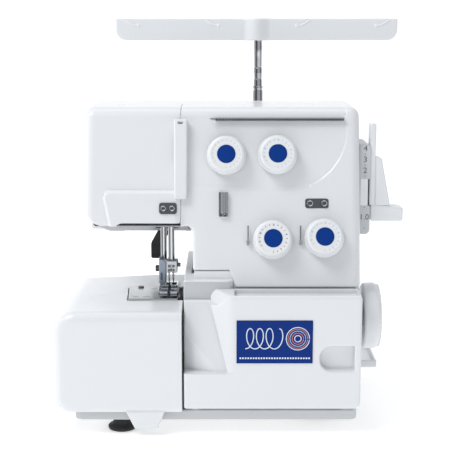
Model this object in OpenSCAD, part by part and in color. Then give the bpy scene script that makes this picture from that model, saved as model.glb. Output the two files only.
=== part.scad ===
// Overlock serger: a four-thread overlocking sewing machine on its base, with
// swing-down looper cover, pull-off cloth plate cover, telescopic thread guide
// and rear spool stand.
// X runs to the right, Y to the back and Z up. The origin is the middle of the
// overall box, on the table.

/* [Body] */
// Height of the head's top face
head_top = 299; // [280:1:330]
// Left end of the head, from the column's reference line
head_left = -133; // [-150:1:-120]
// Right side of the body
body_right = 127; // [118:1:150]
// Depth of the head and bed
body_depth = 165; // [150:1:190]
// Underside of the arm at the front
arm_bottom = 190; // [180:1:205]
// Underside of the arm at the back
arm_rear_bottom = 164; // [155:1:175]
// Left wall of the column, beside the sewing space
column_left = -30; // [-36:1:-24]
// Wall of the plastic shells
wall = 2.5; // [2:0.1:3.5]
// Lean of the front panel from upright, in degrees
panel_tilt = 14; // [8:1:18]
// Height where the front panel starts above the looper cover
panel_foot = 135; // [128:1:140]
// Depth of the front panel at its foot
panel_foot_y = 31; // [28:1:36]
// Depth where the front shells meet the rear shell
seam_y = 112; // [105:1:120]
// Place across the head where the face cover meets the front cover
face_split = -41.5; // [-45:0.5:-38]
// Gap between neighbouring covers
cover_gap = 0.8; // [0.5:0.1:1.5]
// Corner radius of the head seen from the front
head_corner = 12; // [6:1:18]

/* [Cloth plate and looper covers] */
// Left side of the cloth plate cover
plate_cover_left = -159; // [-175:1:-150]
// Right edge of the cloth plate cover
plate_cover_right = -39.5; // [-42:0.5:-39]
// Top of the cloth plate cover
bed_top = 118; // [110:1:124]
// Lower edge of the cloth plate cover
plate_cover_bottom = 19.5; // [18:0.5:22]
// How far the cloth plate cover pulls out to the left
plate_cover_travel = 40; // [25:1:60]
// Lower edge of the looper cover
door_bottom = 25.5; // [24.5:0.5:30]
// Depth of the looper cover's top ledge
door_depth = 30; // [26:1:34]
// How far the looper cover slides to the right to unlatch
door_travel = 4.5; // [3:0.5:4.5]
// How far the looper cover swings down, in degrees
door_swing = 88; // [70:1:90]
// Radius of the looper cover's hinge rod
hinge_rod_r = 1.5; // [1.2:0.1:1.8]
// Thickness of the badge on the looper cover
badge_t = 0.8; // [0.4:0.1:1.5]
// Depth of the finger recess in the looper cover
recess_depth = 8; // [6:0.5:10]

/* [Base] */
// Height of the rubber feet
foot_h = 13.5; // [10:0.5:16]
// Top of the base tray's rim
tray_top = 23.5; // [21:0.5:24]
// Thickness of the base tray's floor
tray_floor = 3; // [2.5:0.5:5]
// Overall depth, to the back of the spool stand
stand_depth = 270; // [255:1:290]
// Radius of a spool pin
spool_pin_r = 3.2; // [2.5:0.1:4]
// Height of a spool pin's free length
spool_pin_h = 60; // [45:1:62]
// Distance between neighbouring spool pins
spool_pitch = 64; // [56:1:70]

/* [Thread guide] */
// Height of the thread guide bar's top edge
bar_top = 381; // [370:1:400]
// Height of the thread guide bar
bar_h = 23; // [18:1:30]
// Left end of the thread guide bar
bar_left = -115; // [-125:1:-100]
// Right end of the thread guide bar
bar_right = 181; // [175:1:200]
// Place of the rod across the machine
rod_x = 35; // [25:1:45]
// Depth of the rod
rod_y = 215; // [208:1:222]
// Radius of the lower rod
lower_rod_r = 5.2; // [4.2:0.1:6]
// Radius of the upper rod
upper_rod_r = 4.4; // [3:0.1:4.5]
// Top of the lower rod
lower_rod_top = 310; // [300:1:320]
// How far the rod telescopes down
rod_travel = 45; // [20:1:46]

/* [Dials and levers] */
// Radius of a tension dial's face
dial_face_r = 16.7; // [15:0.1:18]
// Radius of a tension dial's skirt
dial_skirt_r = 18.4; // [17:0.1:20]
// Height of a tension dial
dial_h = 15; // [12:1:18]
// Radius of the disc set in a dial's face
dial_cap_r = 8.6; // [7:0.1:10]
// Radius of a tension post
tension_post_r = 3; // [2.5:0.1:4]
// Turn of a tension dial each way from its middle setting, in degrees
dial_turn = 150; // [90:5:160]
// Lean of the lower dials from level, in degrees
lower_dial_tilt = 19; // [14:1:22]
// Swing of the stitch length lever each way, in degrees
stitch_swing = 7; // [4:1:7]
// Swing of the differential feed lever each way, in degrees
feed_swing = 7; // [4:1:7]

/* [Drive] */
// Height of the main shaft
shaft_z = 98.7; // [94:0.1:102]
// Depth of the main shaft
shaft_y = 66; // [62:1:70]
// Radius of the main shaft
shaft_r = 6; // [5:0.5:7]
// Radius of the handwheel
wheel_r = 32; // [28:1:37]
// Width of the handwheel
wheel_w = 17; // [15:1:24]
// Radius of the pulley on the main shaft
shaft_pulley_r = 28; // [24:1:30]
// Radius of the motor's pulley
motor_pulley_r = 8; // [6:0.5:10]
// Radius of the motor's body
motor_r = 26; // [22:1:28]
// Running clearance of shafts and pins in their bores, on the radius
running_fit = 0.05; // [0.03:0.01:0.08]

/* [Needle and presser] */
// Place of the needle bar across the machine
needle_x = -52; // [-54:0.5:-50]
// Depth of the needle bar
needle_y = 78; // [76:0.5:80]
// Radius of the needle bar
needle_bar_r = 3.1; // [2.5:0.1:3.5]
// How far the needle bar rises from the pose shown
needle_rise = 18; // [14:1:20]
// How far the needle bar drops from the pose shown
needle_drop = 5; // [3:0.5:5]
// Place of the presser bar across the machine
presser_x = -60; // [-62:0.5:-59]
// Depth of the presser bar
presser_y = 91; // [90:0.5:93]
// Radius of the presser bar
presser_bar_r = 3; // [2.5:0.1:3.5]
// Lift of the presser foot
presser_lift = 5; // [4:0.5:6]
// Thickness of the needle plate
needle_plate_t = 2.2; // [1.8:0.1:2.6]

/* [Hidden] */

$fn = 64;
eps = 0.01;

// The overall box, which places the origin
origin_x = (plate_cover_left + bar_right) / 2;
origin_y = (stand_depth - badge_t) / 2;

// Front panel
function panel_y(z) = panel_foot_y + (z - panel_foot) * tan(panel_tilt);

// Bed and covers
bed_left = column_left - 8.5;          // left end of the bed cover
ledge_top = 142;                       // top of the bed cover's ledge
door_left = bed_left + 0.5;
door_right = body_right - 1;
door_top = panel_foot - 1;
door_wall_y = door_depth - 2.5;        // back of the chute, in front of the bed cover
hinge_y = 4.5;
hinge_z = door_bottom + 4;
chute_foot = door_bottom + 35.5;       // lower end of the waste chute
chute_top_x = column_left + 18;        // right side of the chute at the top
chute_foot_x = chute_top_x + 14.5;
recess_x = [87, 119];                  // finger recess, from left to right
recess_z = [63, 87];
badge_x = [10.5, 80.2];
badge_z = [71, 111.5];
tray_left = plate_cover_left + 19;
tray_front = 7.5;
tray_right = body_right - 4;
tray_bottom = foot_h;
lug_x = [-20, 96];                     // left ends of the door's two hinge lugs
lug_w = 7;
hook_gap = 4;                          // between a hinge hook and its lug at rest
hook_w = 6;
lug_r = 3.6;

// Sewing area
plate_x = [-95, plate_cover_right - 5.5];
plate_y = [50, 101];
plate_top = bed_top + 1.2;
dog_x = needle_x - 4;                  // middle of the feed dogs
dog_w = 4;
foot_bottom = plate_top + 1.4;
head_lug_z = [218, 258];               // undersides of the two bar guides
head_lug_t = 8;
bush_wall = 2.4;
bar_guide_top = head_lug_z[1] + head_lug_t;

// Lever unit on the right side
housing_w = 12;
housing_y = [72, 122];
housing_z = [177, 264];
lever_pivot_y = 112;
stitch_pivot_z = 228;
feed_pivot_z = 200;
lever_pin_r = 3;
lever_side = body_right + housing_w;

// Dials: place across and up the panel
dial_x = [1.2, 49.1, 44.6, 92.4];
dial_z = [254.6, 255.1, 177.5, 179];
dial_lean = [panel_tilt, panel_tilt, lower_dial_tilt, lower_dial_tilt];
disc_r = 11;
disc_t = 0.9;
dial_seat = 3.4;                       // dial's back face above the panel
post_depth = 12;                       // post's length behind the panel
tension_plate_t = 2;
tension_plate_gap = 7;                 // behind the panel's outer face

// Spool stand and thread guide
stand_top = tray_top - 1.5;
spool_x0 = rod_x - 1.5 * spool_pitch + 1;
spool_y = rod_y + 17;
upper_rod_foot = lower_rod_top - rod_travel - 60;

// Drive
pulley_x = 96;
pulley_w = 9;
motor_y = 124;
motor_z = 63;
belt_t = 2.2;
wheel_x = body_right + 5;

// Looper cover hooks and chute
hook_x = [lug_x[0] - hook_gap - hook_w, lug_x[1] + lug_w + hook_gap + 2];
chute_slope = (door_wall_y - 0.3) / (door_top - 6 - chute_foot);
function chute_y(z) = (z - chute_foot) * chute_slope;

// Feet and screws
foot_places = [[-97, 24], [90, 58], [-97, body_depth - 22], [87, body_depth - 22],
               [-62, stand_depth - 20], [127, stand_depth - 20]];
cover_screw_x = [head_left + 22, 0, body_right - 22];
cover_screw_z = [185, 280];
plate_screw_x = [plate_x[0] + 12, plate_x[1] - 5];
plate_screw_y = plate_y[1] - 6;

// Bearings and pins of the mechanism
pedestal_x = [-14, 108];
looper_pin = [[-72, 52], [-50, 72]];
looper_pin_r = 3;
take_up_y = 96;
take_up_z = 250;
lifter_x = -50;
lifter_z = 186;
knife_x = plate_x[1] + 1.8;
knife_y = 90;
knife_z = 104;

// Motor
motor_x = [30, 90];
motor_shaft_r = 2.5;

// Needle clamp, guide bar holes, inlet and switch
clamp_z = 139.5;                         // underside of the needle clamp
slit_z = bar_top - 7.5;                  // height of the guide holes
slit_r = 17;                             // bend of the slits above them
guide_hole_x = [bar_left + 24, bar_left + 108, bar_right - 106, bar_right - 23];
inlet_y = [121, 149];
inlet_z = [38, 62];
switch_y = [126, 144];
switch_z = [74, 98];

// ---- Helpers ----------------------------------------------------------------

// Profile in Y and Z, run along X
module prism_x(x0, x1)
    translate([x0, 0, 0]) rotate([90, 0, 90]) linear_extrude(x1 - x0) children();

// Outline in X and Z, run along Y
module prism_y(y0, y1)
    translate([0, y1, 0]) rotate([90, 0, 0]) linear_extrude(y1 - y0) children();

module block(low, high)
    translate(low) cube(high - low);

module rod_x_axis(x0, x1, y, z, r)
    translate([x0, y, z]) rotate([0, 90, 0]) cylinder(r = r, h = x1 - x0);

module rod_y_axis(y0, y1, x, z, r)
    translate([x, y1, z]) rotate([90, 0, 0]) cylinder(r = r, h = y1 - y0);

module rod_z_axis(z0, z1, x, y, r)
    translate([x, y, z0]) cylinder(r = r, h = z1 - z0);

// Rectangle with its own radius at each corner: low left, low right, top right, top left
module soft_rect(low, high, r)
    difference() {
        translate(low) square(high - low);
        for (k = [[low[0], low[1], 1, 1, r[0]], [high[0], low[1], -1, 1, r[1]],
                  [high[0], high[1], -1, -1, r[2]], [low[0], high[1], 1, -1, r[3]]])
            if (k[4] > 0)
                difference() {
                    translate([k[0] + min(0, k[2] * (k[4] + 1)) - (k[2] > 0 ? 1 : 0),
                               k[1] + min(0, k[3] * (k[4] + 1)) - (k[3] > 0 ? 1 : 0)] +
                              [k[2] > 0 ? 0 : 1, k[3] > 0 ? 0 : 1])
                        square(k[4] + 1);
                    translate([k[0] + k[2] * k[4], k[1] + k[3] * k[4]]) circle(r = k[4]);
                }
    }

// Places children on the front panel: local z points out of it, local y up along it
module on_panel(x, z, lean = panel_tilt)
    translate([x, panel_y(z), z]) rotate([90 - lean, 0, 0]) children();

// ---- Head shells --------------------------------------------------------------

// Side view of the head, shrunk by inset
module head_profile(low_z, inset)
    polygon([
        [panel_y(low_z) + inset / cos(panel_tilt), low_z],
        [panel_y(head_top - 6) + inset / cos(panel_tilt), head_top - 6 - inset],
        [panel_y(head_top) + 5 + inset, head_top - inset],
        [body_depth - 6 - inset, head_top - inset],
        [body_depth - inset, head_top - 6 - inset],
        [body_depth - inset, low_z]
    ]);

// Front view of the head: arm and column
module head_outline(arm_z, column_z, inset) {
    r = head_corner - inset;
    soft_rect([head_left + inset, arm_z], [body_right - inset, head_top - inset], [0, 0, r, r]);
    soft_rect([column_left + inset, column_z], [body_right - inset, head_top - inset], [0, 0, r, r]);
}

module head_shell(arm_z, column_z)
    difference() {
        intersection() {
            prism_x(head_left, body_right) head_profile(column_z, 0);
            prism_y(0, body_depth) head_outline(arm_z, column_z, 0);
        }
        intersection() {
            prism_x(head_left, body_right) head_profile(column_z - 1, wall);
            prism_y(0, body_depth) head_outline(arm_z - 1, column_z - 1, wall);
        }
    }

// Slot in the panel behind the thread bar cover, where the take-up lever works
module take_up_slot()
    on_panel(face_split, 256) translate([-4, -28, -8]) cube([8, 56, 16]);

module front_cover()
    color("whitesmoke") difference() {
        intersection() {
            head_shell(arm_bottom, panel_foot);
            block([face_split + cover_gap / 2, 0, panel_foot], [body_right, seam_y - cover_gap / 2,
                head_top]);
        }
        take_up_slot();
        for (i = [0:3])
            on_panel(dial_x[i], dial_z[i], dial_lean[i])
                translate([0, 0, -10]) cylinder(r = tension_post_r + 0.5, h = 20);
        rod_x_axis(body_right - 2 * wall, body_right + 1, lever_pivot_y - 8, stitch_pivot_z,
            lever_pin_r + 0.5);
        rod_x_axis(body_right - 2 * wall, body_right + 1, lever_pivot_y - 8, feed_pivot_z,
            lever_pin_r + 0.5);
    }

module face_cover()
    color("whitesmoke") union() {
        difference() {
            intersection() {
                head_shell(arm_bottom, panel_foot);
                block([head_left, 0, arm_bottom], [face_split - cover_gap / 2, seam_y - cover_gap / 2,
                    head_top]);
            }
            take_up_slot();
        }
        // Raised lip over the needle area, cut clear of the thread bar cover
        difference() {
            intersection() {
                on_panel(0, 207) translate([head_left + 21, -24, -1])
                    linear_extrude(5) soft_rect([0, 0], [face_split - cover_gap - head_left - 21, 41],
                        [0, 0, 0, 6]);
                block([head_left, 0, arm_bottom + 0.5], [face_split, seam_y, head_top]);
            }
            on_panel(face_split, 255) translate([-7.3, -40, 0]) cube([20, 80, 12]);
        }
    }

module rear_cover()
    color("whitesmoke") difference() {
        intersection() {
            head_shell(arm_rear_bottom, tray_top + cover_gap);
            block([head_left, seam_y + cover_gap / 2, tray_top + cover_gap], [body_right, body_depth,
                head_top]);
        }
        // Openings for the inlet and the switch
        block([body_right - 2 * wall, inlet_y[0], inlet_z[0]], [body_right + 1, inlet_y[1], inlet_z[1]]);
        block([body_right - 2 * wall, switch_y[0], switch_z[0]], [body_right + 1, switch_y[1],
            switch_z[1]]);
        // Left open below the ledge, where the bed passes through
        block([column_left - 1, seam_y, tray_top], [column_left + wall + eps, body_depth - wall,
            ledge_top - wall]);
        for (x = cover_screw_x, z = cover_screw_z)
            rod_y_axis(body_depth - 2 * wall, body_depth + 1, x, z, 1.7);
        // Cooling slots beside the motor
        for (k = [0:6])
            block([20 + 12 * k, body_depth - 2 * wall, 50], [25 + 12 * k, body_depth + 1, 84]);
    }

module side_cover()
    color("whitesmoke") difference() {
        block([body_right - wall, door_depth + 1.5, tray_top + cover_gap],
              [body_right, seam_y - cover_gap / 2, panel_foot - cover_gap]);
        rod_x_axis(body_right - 2 * wall, body_right + 1, shaft_y, shaft_z, 12);
    }

// Ledge left of the column, with the front wall behind the waste chute
module bed_cover()
    color("whitesmoke") {
        y0 = door_wall_y + 0.8;
        right = column_left - cover_gap;
        block([bed_left, y0, ledge_top - wall], [right, body_depth, ledge_top]);
        block([bed_left, y0, chute_foot + 8], [chute_top_x - 5, y0 + wall, panel_foot - cover_gap]);
        block([bed_left, y0, chute_foot + 8], [right, y0 + wall, ledge_top - eps]);
        block([bed_left, y0 + eps, bed_top + 2], [bed_left + wall, body_depth - eps, ledge_top - eps]);
        block([bed_left, body_depth - wall, tray_top + cover_gap], [right, body_depth, ledge_top - eps]);
    }

module thread_bar_cover()
    color("white") on_panel(face_split, 255) difference() {
        translate([-6.5, -39, 0.3]) linear_extrude(8) soft_rect([0, 0], [13, 78], [1.5, 1.5, 1.5, 1.5]);
        translate([-4.3, -30, -1]) cube([8.6, 62, 7.6]);
    }

module cover_screws()
    color("silver") for (x = cover_screw_x, z = cover_screw_z)
        difference() {
            union() {
                rod_y_axis(body_depth, body_depth + 1.6, x, z, 3.2);
                rod_y_axis(body_depth - 9, body_depth + 1, x, z, 1.6);
            }
            block([x - 2.4, body_depth + 0.8, z - 0.4], [x + 2.4, body_depth + 2, z + 0.4]);
        }

// ---- Looper cover -------------------------------------------------------------

// Space in front of and above the chute's floor
module chute_space(shift)
    intersection() {
        prism_x(door_left - 2, chute_foot_x + 10)
            polygon([[-1, chute_foot - 1 / chute_slope], [chute_y(door_top + 1) + shift, door_top + 1],
                [-1, door_top + 1]]);
        prism_y(-1, door_depth + 1)
            polygon([[door_left - 1, chute_foot], [chute_foot_x + shift, chute_foot],
                     [chute_top_x + shift, door_top + 1], [door_left - 1, door_top + 1]]);
    }

module door_body(inset)
    intersection() {
        prism_y(inset, door_depth + (inset > 0 ? 1 : 0))
            soft_rect([door_left + inset, door_bottom - (inset > 0 ? 1 : 0)], [door_right - inset,
                door_top - inset],
                      [0, inset > 0 ? 0 : 8, 3, 0]);
        union() {
            block([door_left, -1, 0], [chute_top_x - 4, door_wall_y + (inset > 0 ? 1 : 0), head_top]);
            block([chute_top_x - 4 - (inset > 0 ? 0 : eps) + inset, -1, 0], [body_right,
                door_depth + 2, head_top]);
            if (inset > 0)
                block([door_left, -1, 0], [chute_top_x, door_wall_y - wall, head_top]);
        }
    }

module recess_shape(grow) {
    h = recess_z[1] - recess_z[0] + 2 * grow;
    soft_rect([recess_x[0] - grow, recess_z[0] - grow], [recess_x[1] + grow, recess_z[1] + grow],
              [h / 2 - 1, 1.5, 1.5, h / 2 - 1]);
}

module looper_cover()
    color("whitesmoke") {
        difference() {
            union() {
                difference() {
                    door_body(0);
                    door_body(wall);
                }
                // Floor and right wall of the chute
                intersection() {
                    door_body(0);
                    chute_space(wall);
                    block([door_left, -1, chute_foot - 6], [body_right, door_depth, door_top]);
                }
                prism_y(eps, recess_depth + 2) recess_shape(2);
            }
            chute_space(0);
            prism_y(-1, recess_depth) recess_shape(0);
        }
        // Hinge lugs round the rod
        for (x = lug_x)
            difference() {
                rod_x_axis(x, x + lug_w, hinge_y, hinge_z, lug_r);
                rod_x_axis(x - 1, x + lug_w + 1, hinge_y, hinge_z, hinge_rod_r + running_fit);
                block([x - 1, -5, 0], [x + lug_w + 1, wall / 2, 60]);
            }
    }

module front_badge()
    color([0.08, 0.23, 0.57]) block([badge_x[0], -badge_t, badge_z[0]], [badge_x[1], 0, badge_z[1]]);

module hinge_rod()
    color("silver") rod_x_axis(lug_x[0] - 12, lug_x[1] + lug_w + 12, hinge_y, hinge_z, hinge_rod_r);

// ---- Cloth plate cover ----------------------------------------------------------

module cloth_plate_cover()
    color("white") {
        difference() {
            prism_y(0, body_depth)
                soft_rect([plate_cover_left, plate_cover_bottom], [plate_cover_right, bed_top], [18, 0,
                    0, 20]);
            prism_y(wall, body_depth - wall)
                soft_rect([plate_cover_left + wall, plate_cover_bottom - 1], [plate_cover_right + 1,
                    bed_top - wall],
                          [17, 0, 0, 17.5]);
            // Open round the needle plate and the foot
            block([plate_x[0] - 2, plate_y[0] - 2, bed_top - 2 * wall], [plate_cover_right + 1,
                plate_y[1] + 2, bed_top + 1]);
        }
        // Pull tab below the front wall
        prism_y(0, wall)
            polygon([[-90, plate_cover_bottom + 1], [-57, plate_cover_bottom + 1], [-62, 7.5], [-83.5,
                7.5]]);
    }

module needle_plate()
    color("silver") difference() {
        translate([0, 0, plate_top - needle_plate_t]) linear_extrude(needle_plate_t)
            polygon([[plate_x[0] + 3, plate_y[0]], [plate_x[1], plate_y[0]], [plate_x[1], plate_y[1]],
                     [plate_x[0], plate_y[1]]]);
        block([dog_x - dog_w / 2 - 1, 52, plate_top - 5], [dog_x + dog_w / 2 + 1, 94, plate_top + 1]);
        block([dog_x, needle_y - 6.6, plate_top - 5], [needle_x + 3.6, needle_y - 3.4, plate_top + 1]);
        for (x = plate_screw_x)
            rod_z_axis(plate_top - 5, plate_top + 1, x, plate_screw_y, 1.7);
    }

module plate_screws()
    color("dimgray") for (x = plate_screw_x)
        difference() {
            union() {
                rod_z_axis(plate_top, plate_top + 1.2, x, plate_screw_y, 2.8);
                rod_z_axis(plate_top - 9, plate_top + 0.5, x, plate_screw_y, 1.5);
            }
            block([x - 2, plate_screw_y - 0.4, plate_top + 0.5], [x + 2, plate_screw_y + 0.4,
                plate_top + 2]);
        }

// ---- Base and frame -------------------------------------------------------------

module base_tray()
    color("gainsboro") union() {
        difference() {
            block([tray_left, tray_front, tray_bottom], [tray_right, body_depth - 4, tray_top]);
            block([tray_left + wall, tray_front + wall, tray_bottom + tray_floor],
                  [tray_right - wall, body_depth - 4 - wall, tray_top + 1]);
        }
        // Hooks that hold the looper cover's hinge rod from behind
        for (x = hook_x)
            difference() {
                union() {
                    block([x, hinge_y + 4.6, tray_bottom + 1], [x + hook_w, hinge_y + 9, hinge_z
                        + lug_r]);
                    block([x, hinge_y - 1.4, hinge_z], [x + hook_w, hinge_y + 5, hinge_z + lug_r]);
                }
                rod_x_axis(x - 1, x + hook_w + 1, hinge_y, hinge_z, hinge_rod_r + running_fit);
            }
    }

module rubber_feet()
    color([0.12, 0.12, 0.12]) for (p = foot_places)
        translate([p[0], p[1], 0]) rotate_extrude()
            polygon([[0, 0], [13, 0], [13.5, 3], [9, 7], [8, foot_h - eps], [0, foot_h - eps]]);

module main_frame()
    color("darkgray") {
        difference() {
            union() {
                // Bed plate
                block([-120, 42, tray_bottom + tray_floor], [118, 158, tray_top + 10]);
                // Column: two webs and a back web
                block([column_left + 5, 96, tray_top], [column_left + 13, 154, 284]);
                block([14, 96, tray_top], [22, 154, 284]);
                block([column_left + 12, 146, tray_top], [15, 154, 284]);
                // Arm: web with flanges
                block([head_left + 12, 120, 214], [15, 128, 284]);
                block([head_left + 12, 106, 276], [22, 146, 284]);
                block([head_left + 12, 112, 214], [22, 140, 222]);
                // Guides for the needle bar and the presser bar
                for (z = head_lug_z)
                    block([presser_x - 12, needle_y - 9, z], [needle_x + 9, 121, z + head_lug_t]);
                // Pillar under the needle plate
                block([plate_x[0] + 5, 91.5, tray_top], [plate_x[1] - 1, plate_y[1] + 1,
                    plate_top - needle_plate_t]);
                // Bearing pedestals
                for (x = pedestal_x)
                    block([x, shaft_y - 13, tray_top], [x + 8, shaft_y + 13, shaft_z + 13]);
                // Motor cradle
                block([40, motor_y - 20, tray_top], [84, motor_y + 20, motor_z - 19]);
                // Lug for the presser lifter
                block([lifter_x - 5, 134, lifter_z - 6], [lifter_x + 5, 140, 216]);
                // Pins for loopers, knife arm, take-up lever and lifter
                rod_y_axis(60, 97, looper_pin[0][0], looper_pin[0][1], looper_pin_r);
                rod_y_axis(60, 97, looper_pin[1][0], looper_pin[1][1], looper_pin_r);
                rod_y_axis(139, 157, lifter_x, lifter_z, looper_pin_r);
                rod_x_axis(face_split - 10, face_split + 8, take_up_y, take_up_z, looper_pin_r);
                block([face_split - 10, take_up_y - 3, take_up_z - 3], [face_split - 5, 121,
                    take_up_z + 3]);
                rod_x_axis(plate_x[1] - 2, plate_x[1] + 12, knife_y, knife_z, looper_pin_r);
                block([plate_x[1] - 4, knife_y - 4, tray_top], [plate_x[1] - 1, knife_y + 4,
                    knife_z + 4]);
                // Slide bar that carries the feed dogs
                block([dog_x - 5, 90, 92], [dog_x + 5, 97, 100]);
            }
            rod_x_axis(pedestal_x[0] - 1, pedestal_x[1] + 9, shaft_y, shaft_z, shaft_r + bush_wall);
            rod_x_axis(39, 85, motor_y, motor_z, motor_r);
            rod_z_axis(head_lug_z[0] - 1, bar_guide_top + 1, needle_x, needle_y, needle_bar_r
                + bush_wall);
            rod_z_axis(head_lug_z[0] - 1, bar_guide_top + 1, presser_x, presser_y, presser_bar_r
                + bush_wall);
            for (x = plate_screw_x)
                rod_z_axis(plate_top - 14, plate_top + 1, x, plate_screw_y, 1.7);
        }
    }

module ring(r_in, r_out, h)
    difference() {
        cylinder(r = r_out, h = h);
        translate([0, 0, -1]) cylinder(r = r_in, h = h + 2);
    }

module bushings()
    color([0.72, 0.53, 0.25]) {
        for (x = pedestal_x)
            translate([x, shaft_y, shaft_z]) rotate([0, 90, 0])
                ring(shaft_r + running_fit, shaft_r + bush_wall, 8);
        for (z = head_lug_z) {
            translate([needle_x, needle_y, z])
                ring(needle_bar_r + running_fit, needle_bar_r + bush_wall, head_lug_t);
            translate([presser_x, presser_y, z])
                ring(presser_bar_r + running_fit, presser_bar_r + bush_wall, head_lug_t);
        }
    }

module tension_plate()
    color("lightgray") difference() {
        translate([0, panel_y(218), 218]) rotate([90 - panel_tilt, 0, 0])
            translate([-22, -52, -tension_plate_gap - tension_plate_t]) cube([138, 112, tension_plate_t]);
        for (i = [0:3])
            on_panel(dial_x[i], dial_z[i], dial_lean[i])
                translate([0, 0, -20]) cylinder(r = tension_post_r + 0.02, h = 30);
    }

// ---- Drive ----------------------------------------------------------------------

module main_shaft()
    color("silver") {
        rod_x_axis(pedestal_x[0] - 8, wheel_x + 10, shaft_y, shaft_z, shaft_r);
        // Eccentrics that drive the loopers and the feed
        rod_x_axis(pedestal_x[0] + 11, pedestal_x[0] + 17, shaft_y + 3, shaft_z, 12);
        rod_x_axis(pedestal_x[0] + 21, pedestal_x[0] + 27, shaft_y - 3, shaft_z, 12);
    }

module pulley(x, y, z, r, bore)
    translate([x, y, z]) rotate([0, 90, 0]) rotate_extrude()
        polygon([[bore, 0], [r + 2, 0], [r + 2, 1.2], [r, 2], [r, pulley_w - 2], [r + 2, pulley_w - 1.2],
                 [r + 2, pulley_w], [bore, pulley_w]]);

module shaft_pulley()
    color("dimgray") pulley(pulley_x, shaft_y, shaft_z, shaft_pulley_r, shaft_r);

module motor_pulley()
    color("dimgray") {
        pulley(pulley_x, motor_y, motor_z, motor_pulley_r, motor_shaft_r);
        rod_x_axis(motor_x[1] - 11, pulley_x + pulley_w, motor_y, motor_z, motor_shaft_r);
    }

module motor()
    color("dimgray") difference() {
        rod_x_axis(motor_x[0], motor_x[1], motor_y, motor_z, motor_r - 0.2);
        rod_x_axis(motor_x[1] - 12, motor_x[1] + 1, motor_y, motor_z, motor_shaft_r + running_fit);
    }

// Stretch of belt: the outline round both pulleys, grown by a distance
module belt_outline(grow)
    hull() {
        translate([shaft_y, shaft_z]) circle(r = shaft_pulley_r + grow, $fn = 48);
        translate([motor_y, motor_z]) circle(r = motor_pulley_r + grow, $fn = 32);
    }

module drive_belt()
    color([0.15, 0.15, 0.15]) prism_x(pulley_x + 2.3, pulley_x + pulley_w - 2.3) difference() {
        belt_outline(0.3 + belt_t);
        belt_outline(0.3);
    }

module handwheel()
    color("white") translate([wheel_x, shaft_y, shaft_z]) rotate([0, 90, 0]) rotate_extrude()
        polygon([
            [0, 11], [shaft_r, 11], [shaft_r, -2.5], [shaft_r + 4, -2.5], [shaft_r + 4, 0],
                [wheel_r - 2, 0],
            [wheel_r, 2],
            for (a = [0:15:90]) [wheel_r - 8 + 8 * cos(a), wheel_w - 8 + 8 * sin(a)],
            [wheel_r - 12, wheel_w - 1], [14, wheel_w - 4], [12, wheel_w - 2], [0, wheel_w - 2]
        ]);

// ---- Needle, presser and loopers ---------------------------------------------------

module needle_bar()
    color("silver") rod_z_axis(clamp_z + 4, bar_guide_top + needle_drop + 1, needle_x, needle_y,
        needle_bar_r);

module needle_clamp()
    color("gray") {
        difference() {
            block([needle_x - 4.3, needle_y - 7, clamp_z], [needle_x + 6, needle_y + 4.5, clamp_z + 12]);
            rod_z_axis(clamp_z + 4, clamp_z + 20, needle_x, needle_y, needle_bar_r);
            for (dx = [-2, 2])
                rod_z_axis(clamp_z - 1, clamp_z + 8, needle_x + dx, needle_y - 5, 0.9);
        }
        rod_x_axis(needle_x + 6, needle_x + 9, needle_y - 2, clamp_z + 7, 2);
    }

module needles()
    color("silver") for (dx = [-2, 2]) {
        rod_z_axis(clamp_z - 8, clamp_z + 8, needle_x + dx, needle_y - 5, 0.9);
        translate([needle_x + dx, needle_y - 5, clamp_z - 25]) cylinder(r1 = 0.3, r2 = 0.6, h = 17.01);
    }

module take_up_lever()
    color("silver") difference() {
        union() {
            rod_x_axis(face_split - 4, face_split + 4, take_up_y, take_up_z, 6);
            block([face_split - 1, panel_y(take_up_z) - 3, take_up_z - 2], [face_split + 1,
                take_up_y - 3, take_up_z + 2]);
        }
        rod_x_axis(face_split - 6, face_split + 6, take_up_y, take_up_z, looper_pin_r + running_fit);
        rod_x_axis(face_split - 2, face_split + 2, panel_y(take_up_z), take_up_z, 0.9);
    }

// Looper: hub on its pin, arm and curved blade
module looper(pin, y, tip, blade)
    difference() {
        union() {
            rod_y_axis(y - 1, y + 5, pin[0], pin[1], 6.5);
            prism_y(y, y + 4) polygon([[pin[0] - 4, pin[1]], [pin[0] + 4, pin[1]], [tip[0] + 3, tip[1]],
                                       [tip[0] - 3, tip[1]]]);
            prism_y(y, y + 2.5) polygon([[tip[0] - 3, tip[1] - 4], [tip[0] + blade, tip[1] + 3.4],
                                         [tip[0] + blade, tip[1] + 4.4], [tip[0] - 3, tip[1] + 3]]);
        }
        rod_y_axis(y - 3, y + 8, pin[0], pin[1], looper_pin_r + running_fit);
    }

module lower_looper()
    color("silver") looper(looper_pin[0], 74, [-80, 88], 30);

module upper_looper()
    color("silver") looper(looper_pin[1], 64, [-44.5, 96], -22);

module upper_knife()
    color("dimgray") difference() {
        union() {
            rod_x_axis(knife_x, knife_x + 4, knife_y, knife_z, 6.5);
            prism_x(knife_x, knife_x + 2.4)
                polygon([[knife_y - 4, knife_z - 4], [knife_y + 4, knife_z + 5], [66, plate_top - 4],
                         [66, plate_top + 10], [56, plate_top + 6], [56, plate_top - 6]]);
        }
        rod_x_axis(knife_x - 2, knife_x + 6, knife_y, knife_z, looper_pin_r + running_fit);
    }

module lower_knife()
    color("gray") block([plate_x[1] + 0.3, 54, plate_top - 16], [plate_x[1] + 1.5, 70, plate_top]);

// Toothed bar that rises through the needle plate
module feed_dog(y0, y1)
    prism_x(dog_x - dog_w / 2, dog_x + dog_w / 2)
        polygon([
            [y0, 102], [y0, plate_top + 0.2],
            for (y = [y0 + 0.4:2:y1 - 2.4]) each [[y, plate_top - 0.6], [y + 1.7, plate_top + 0.6]],
            [y1, plate_top - 0.6], [y1, 102]
        ]);

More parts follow.
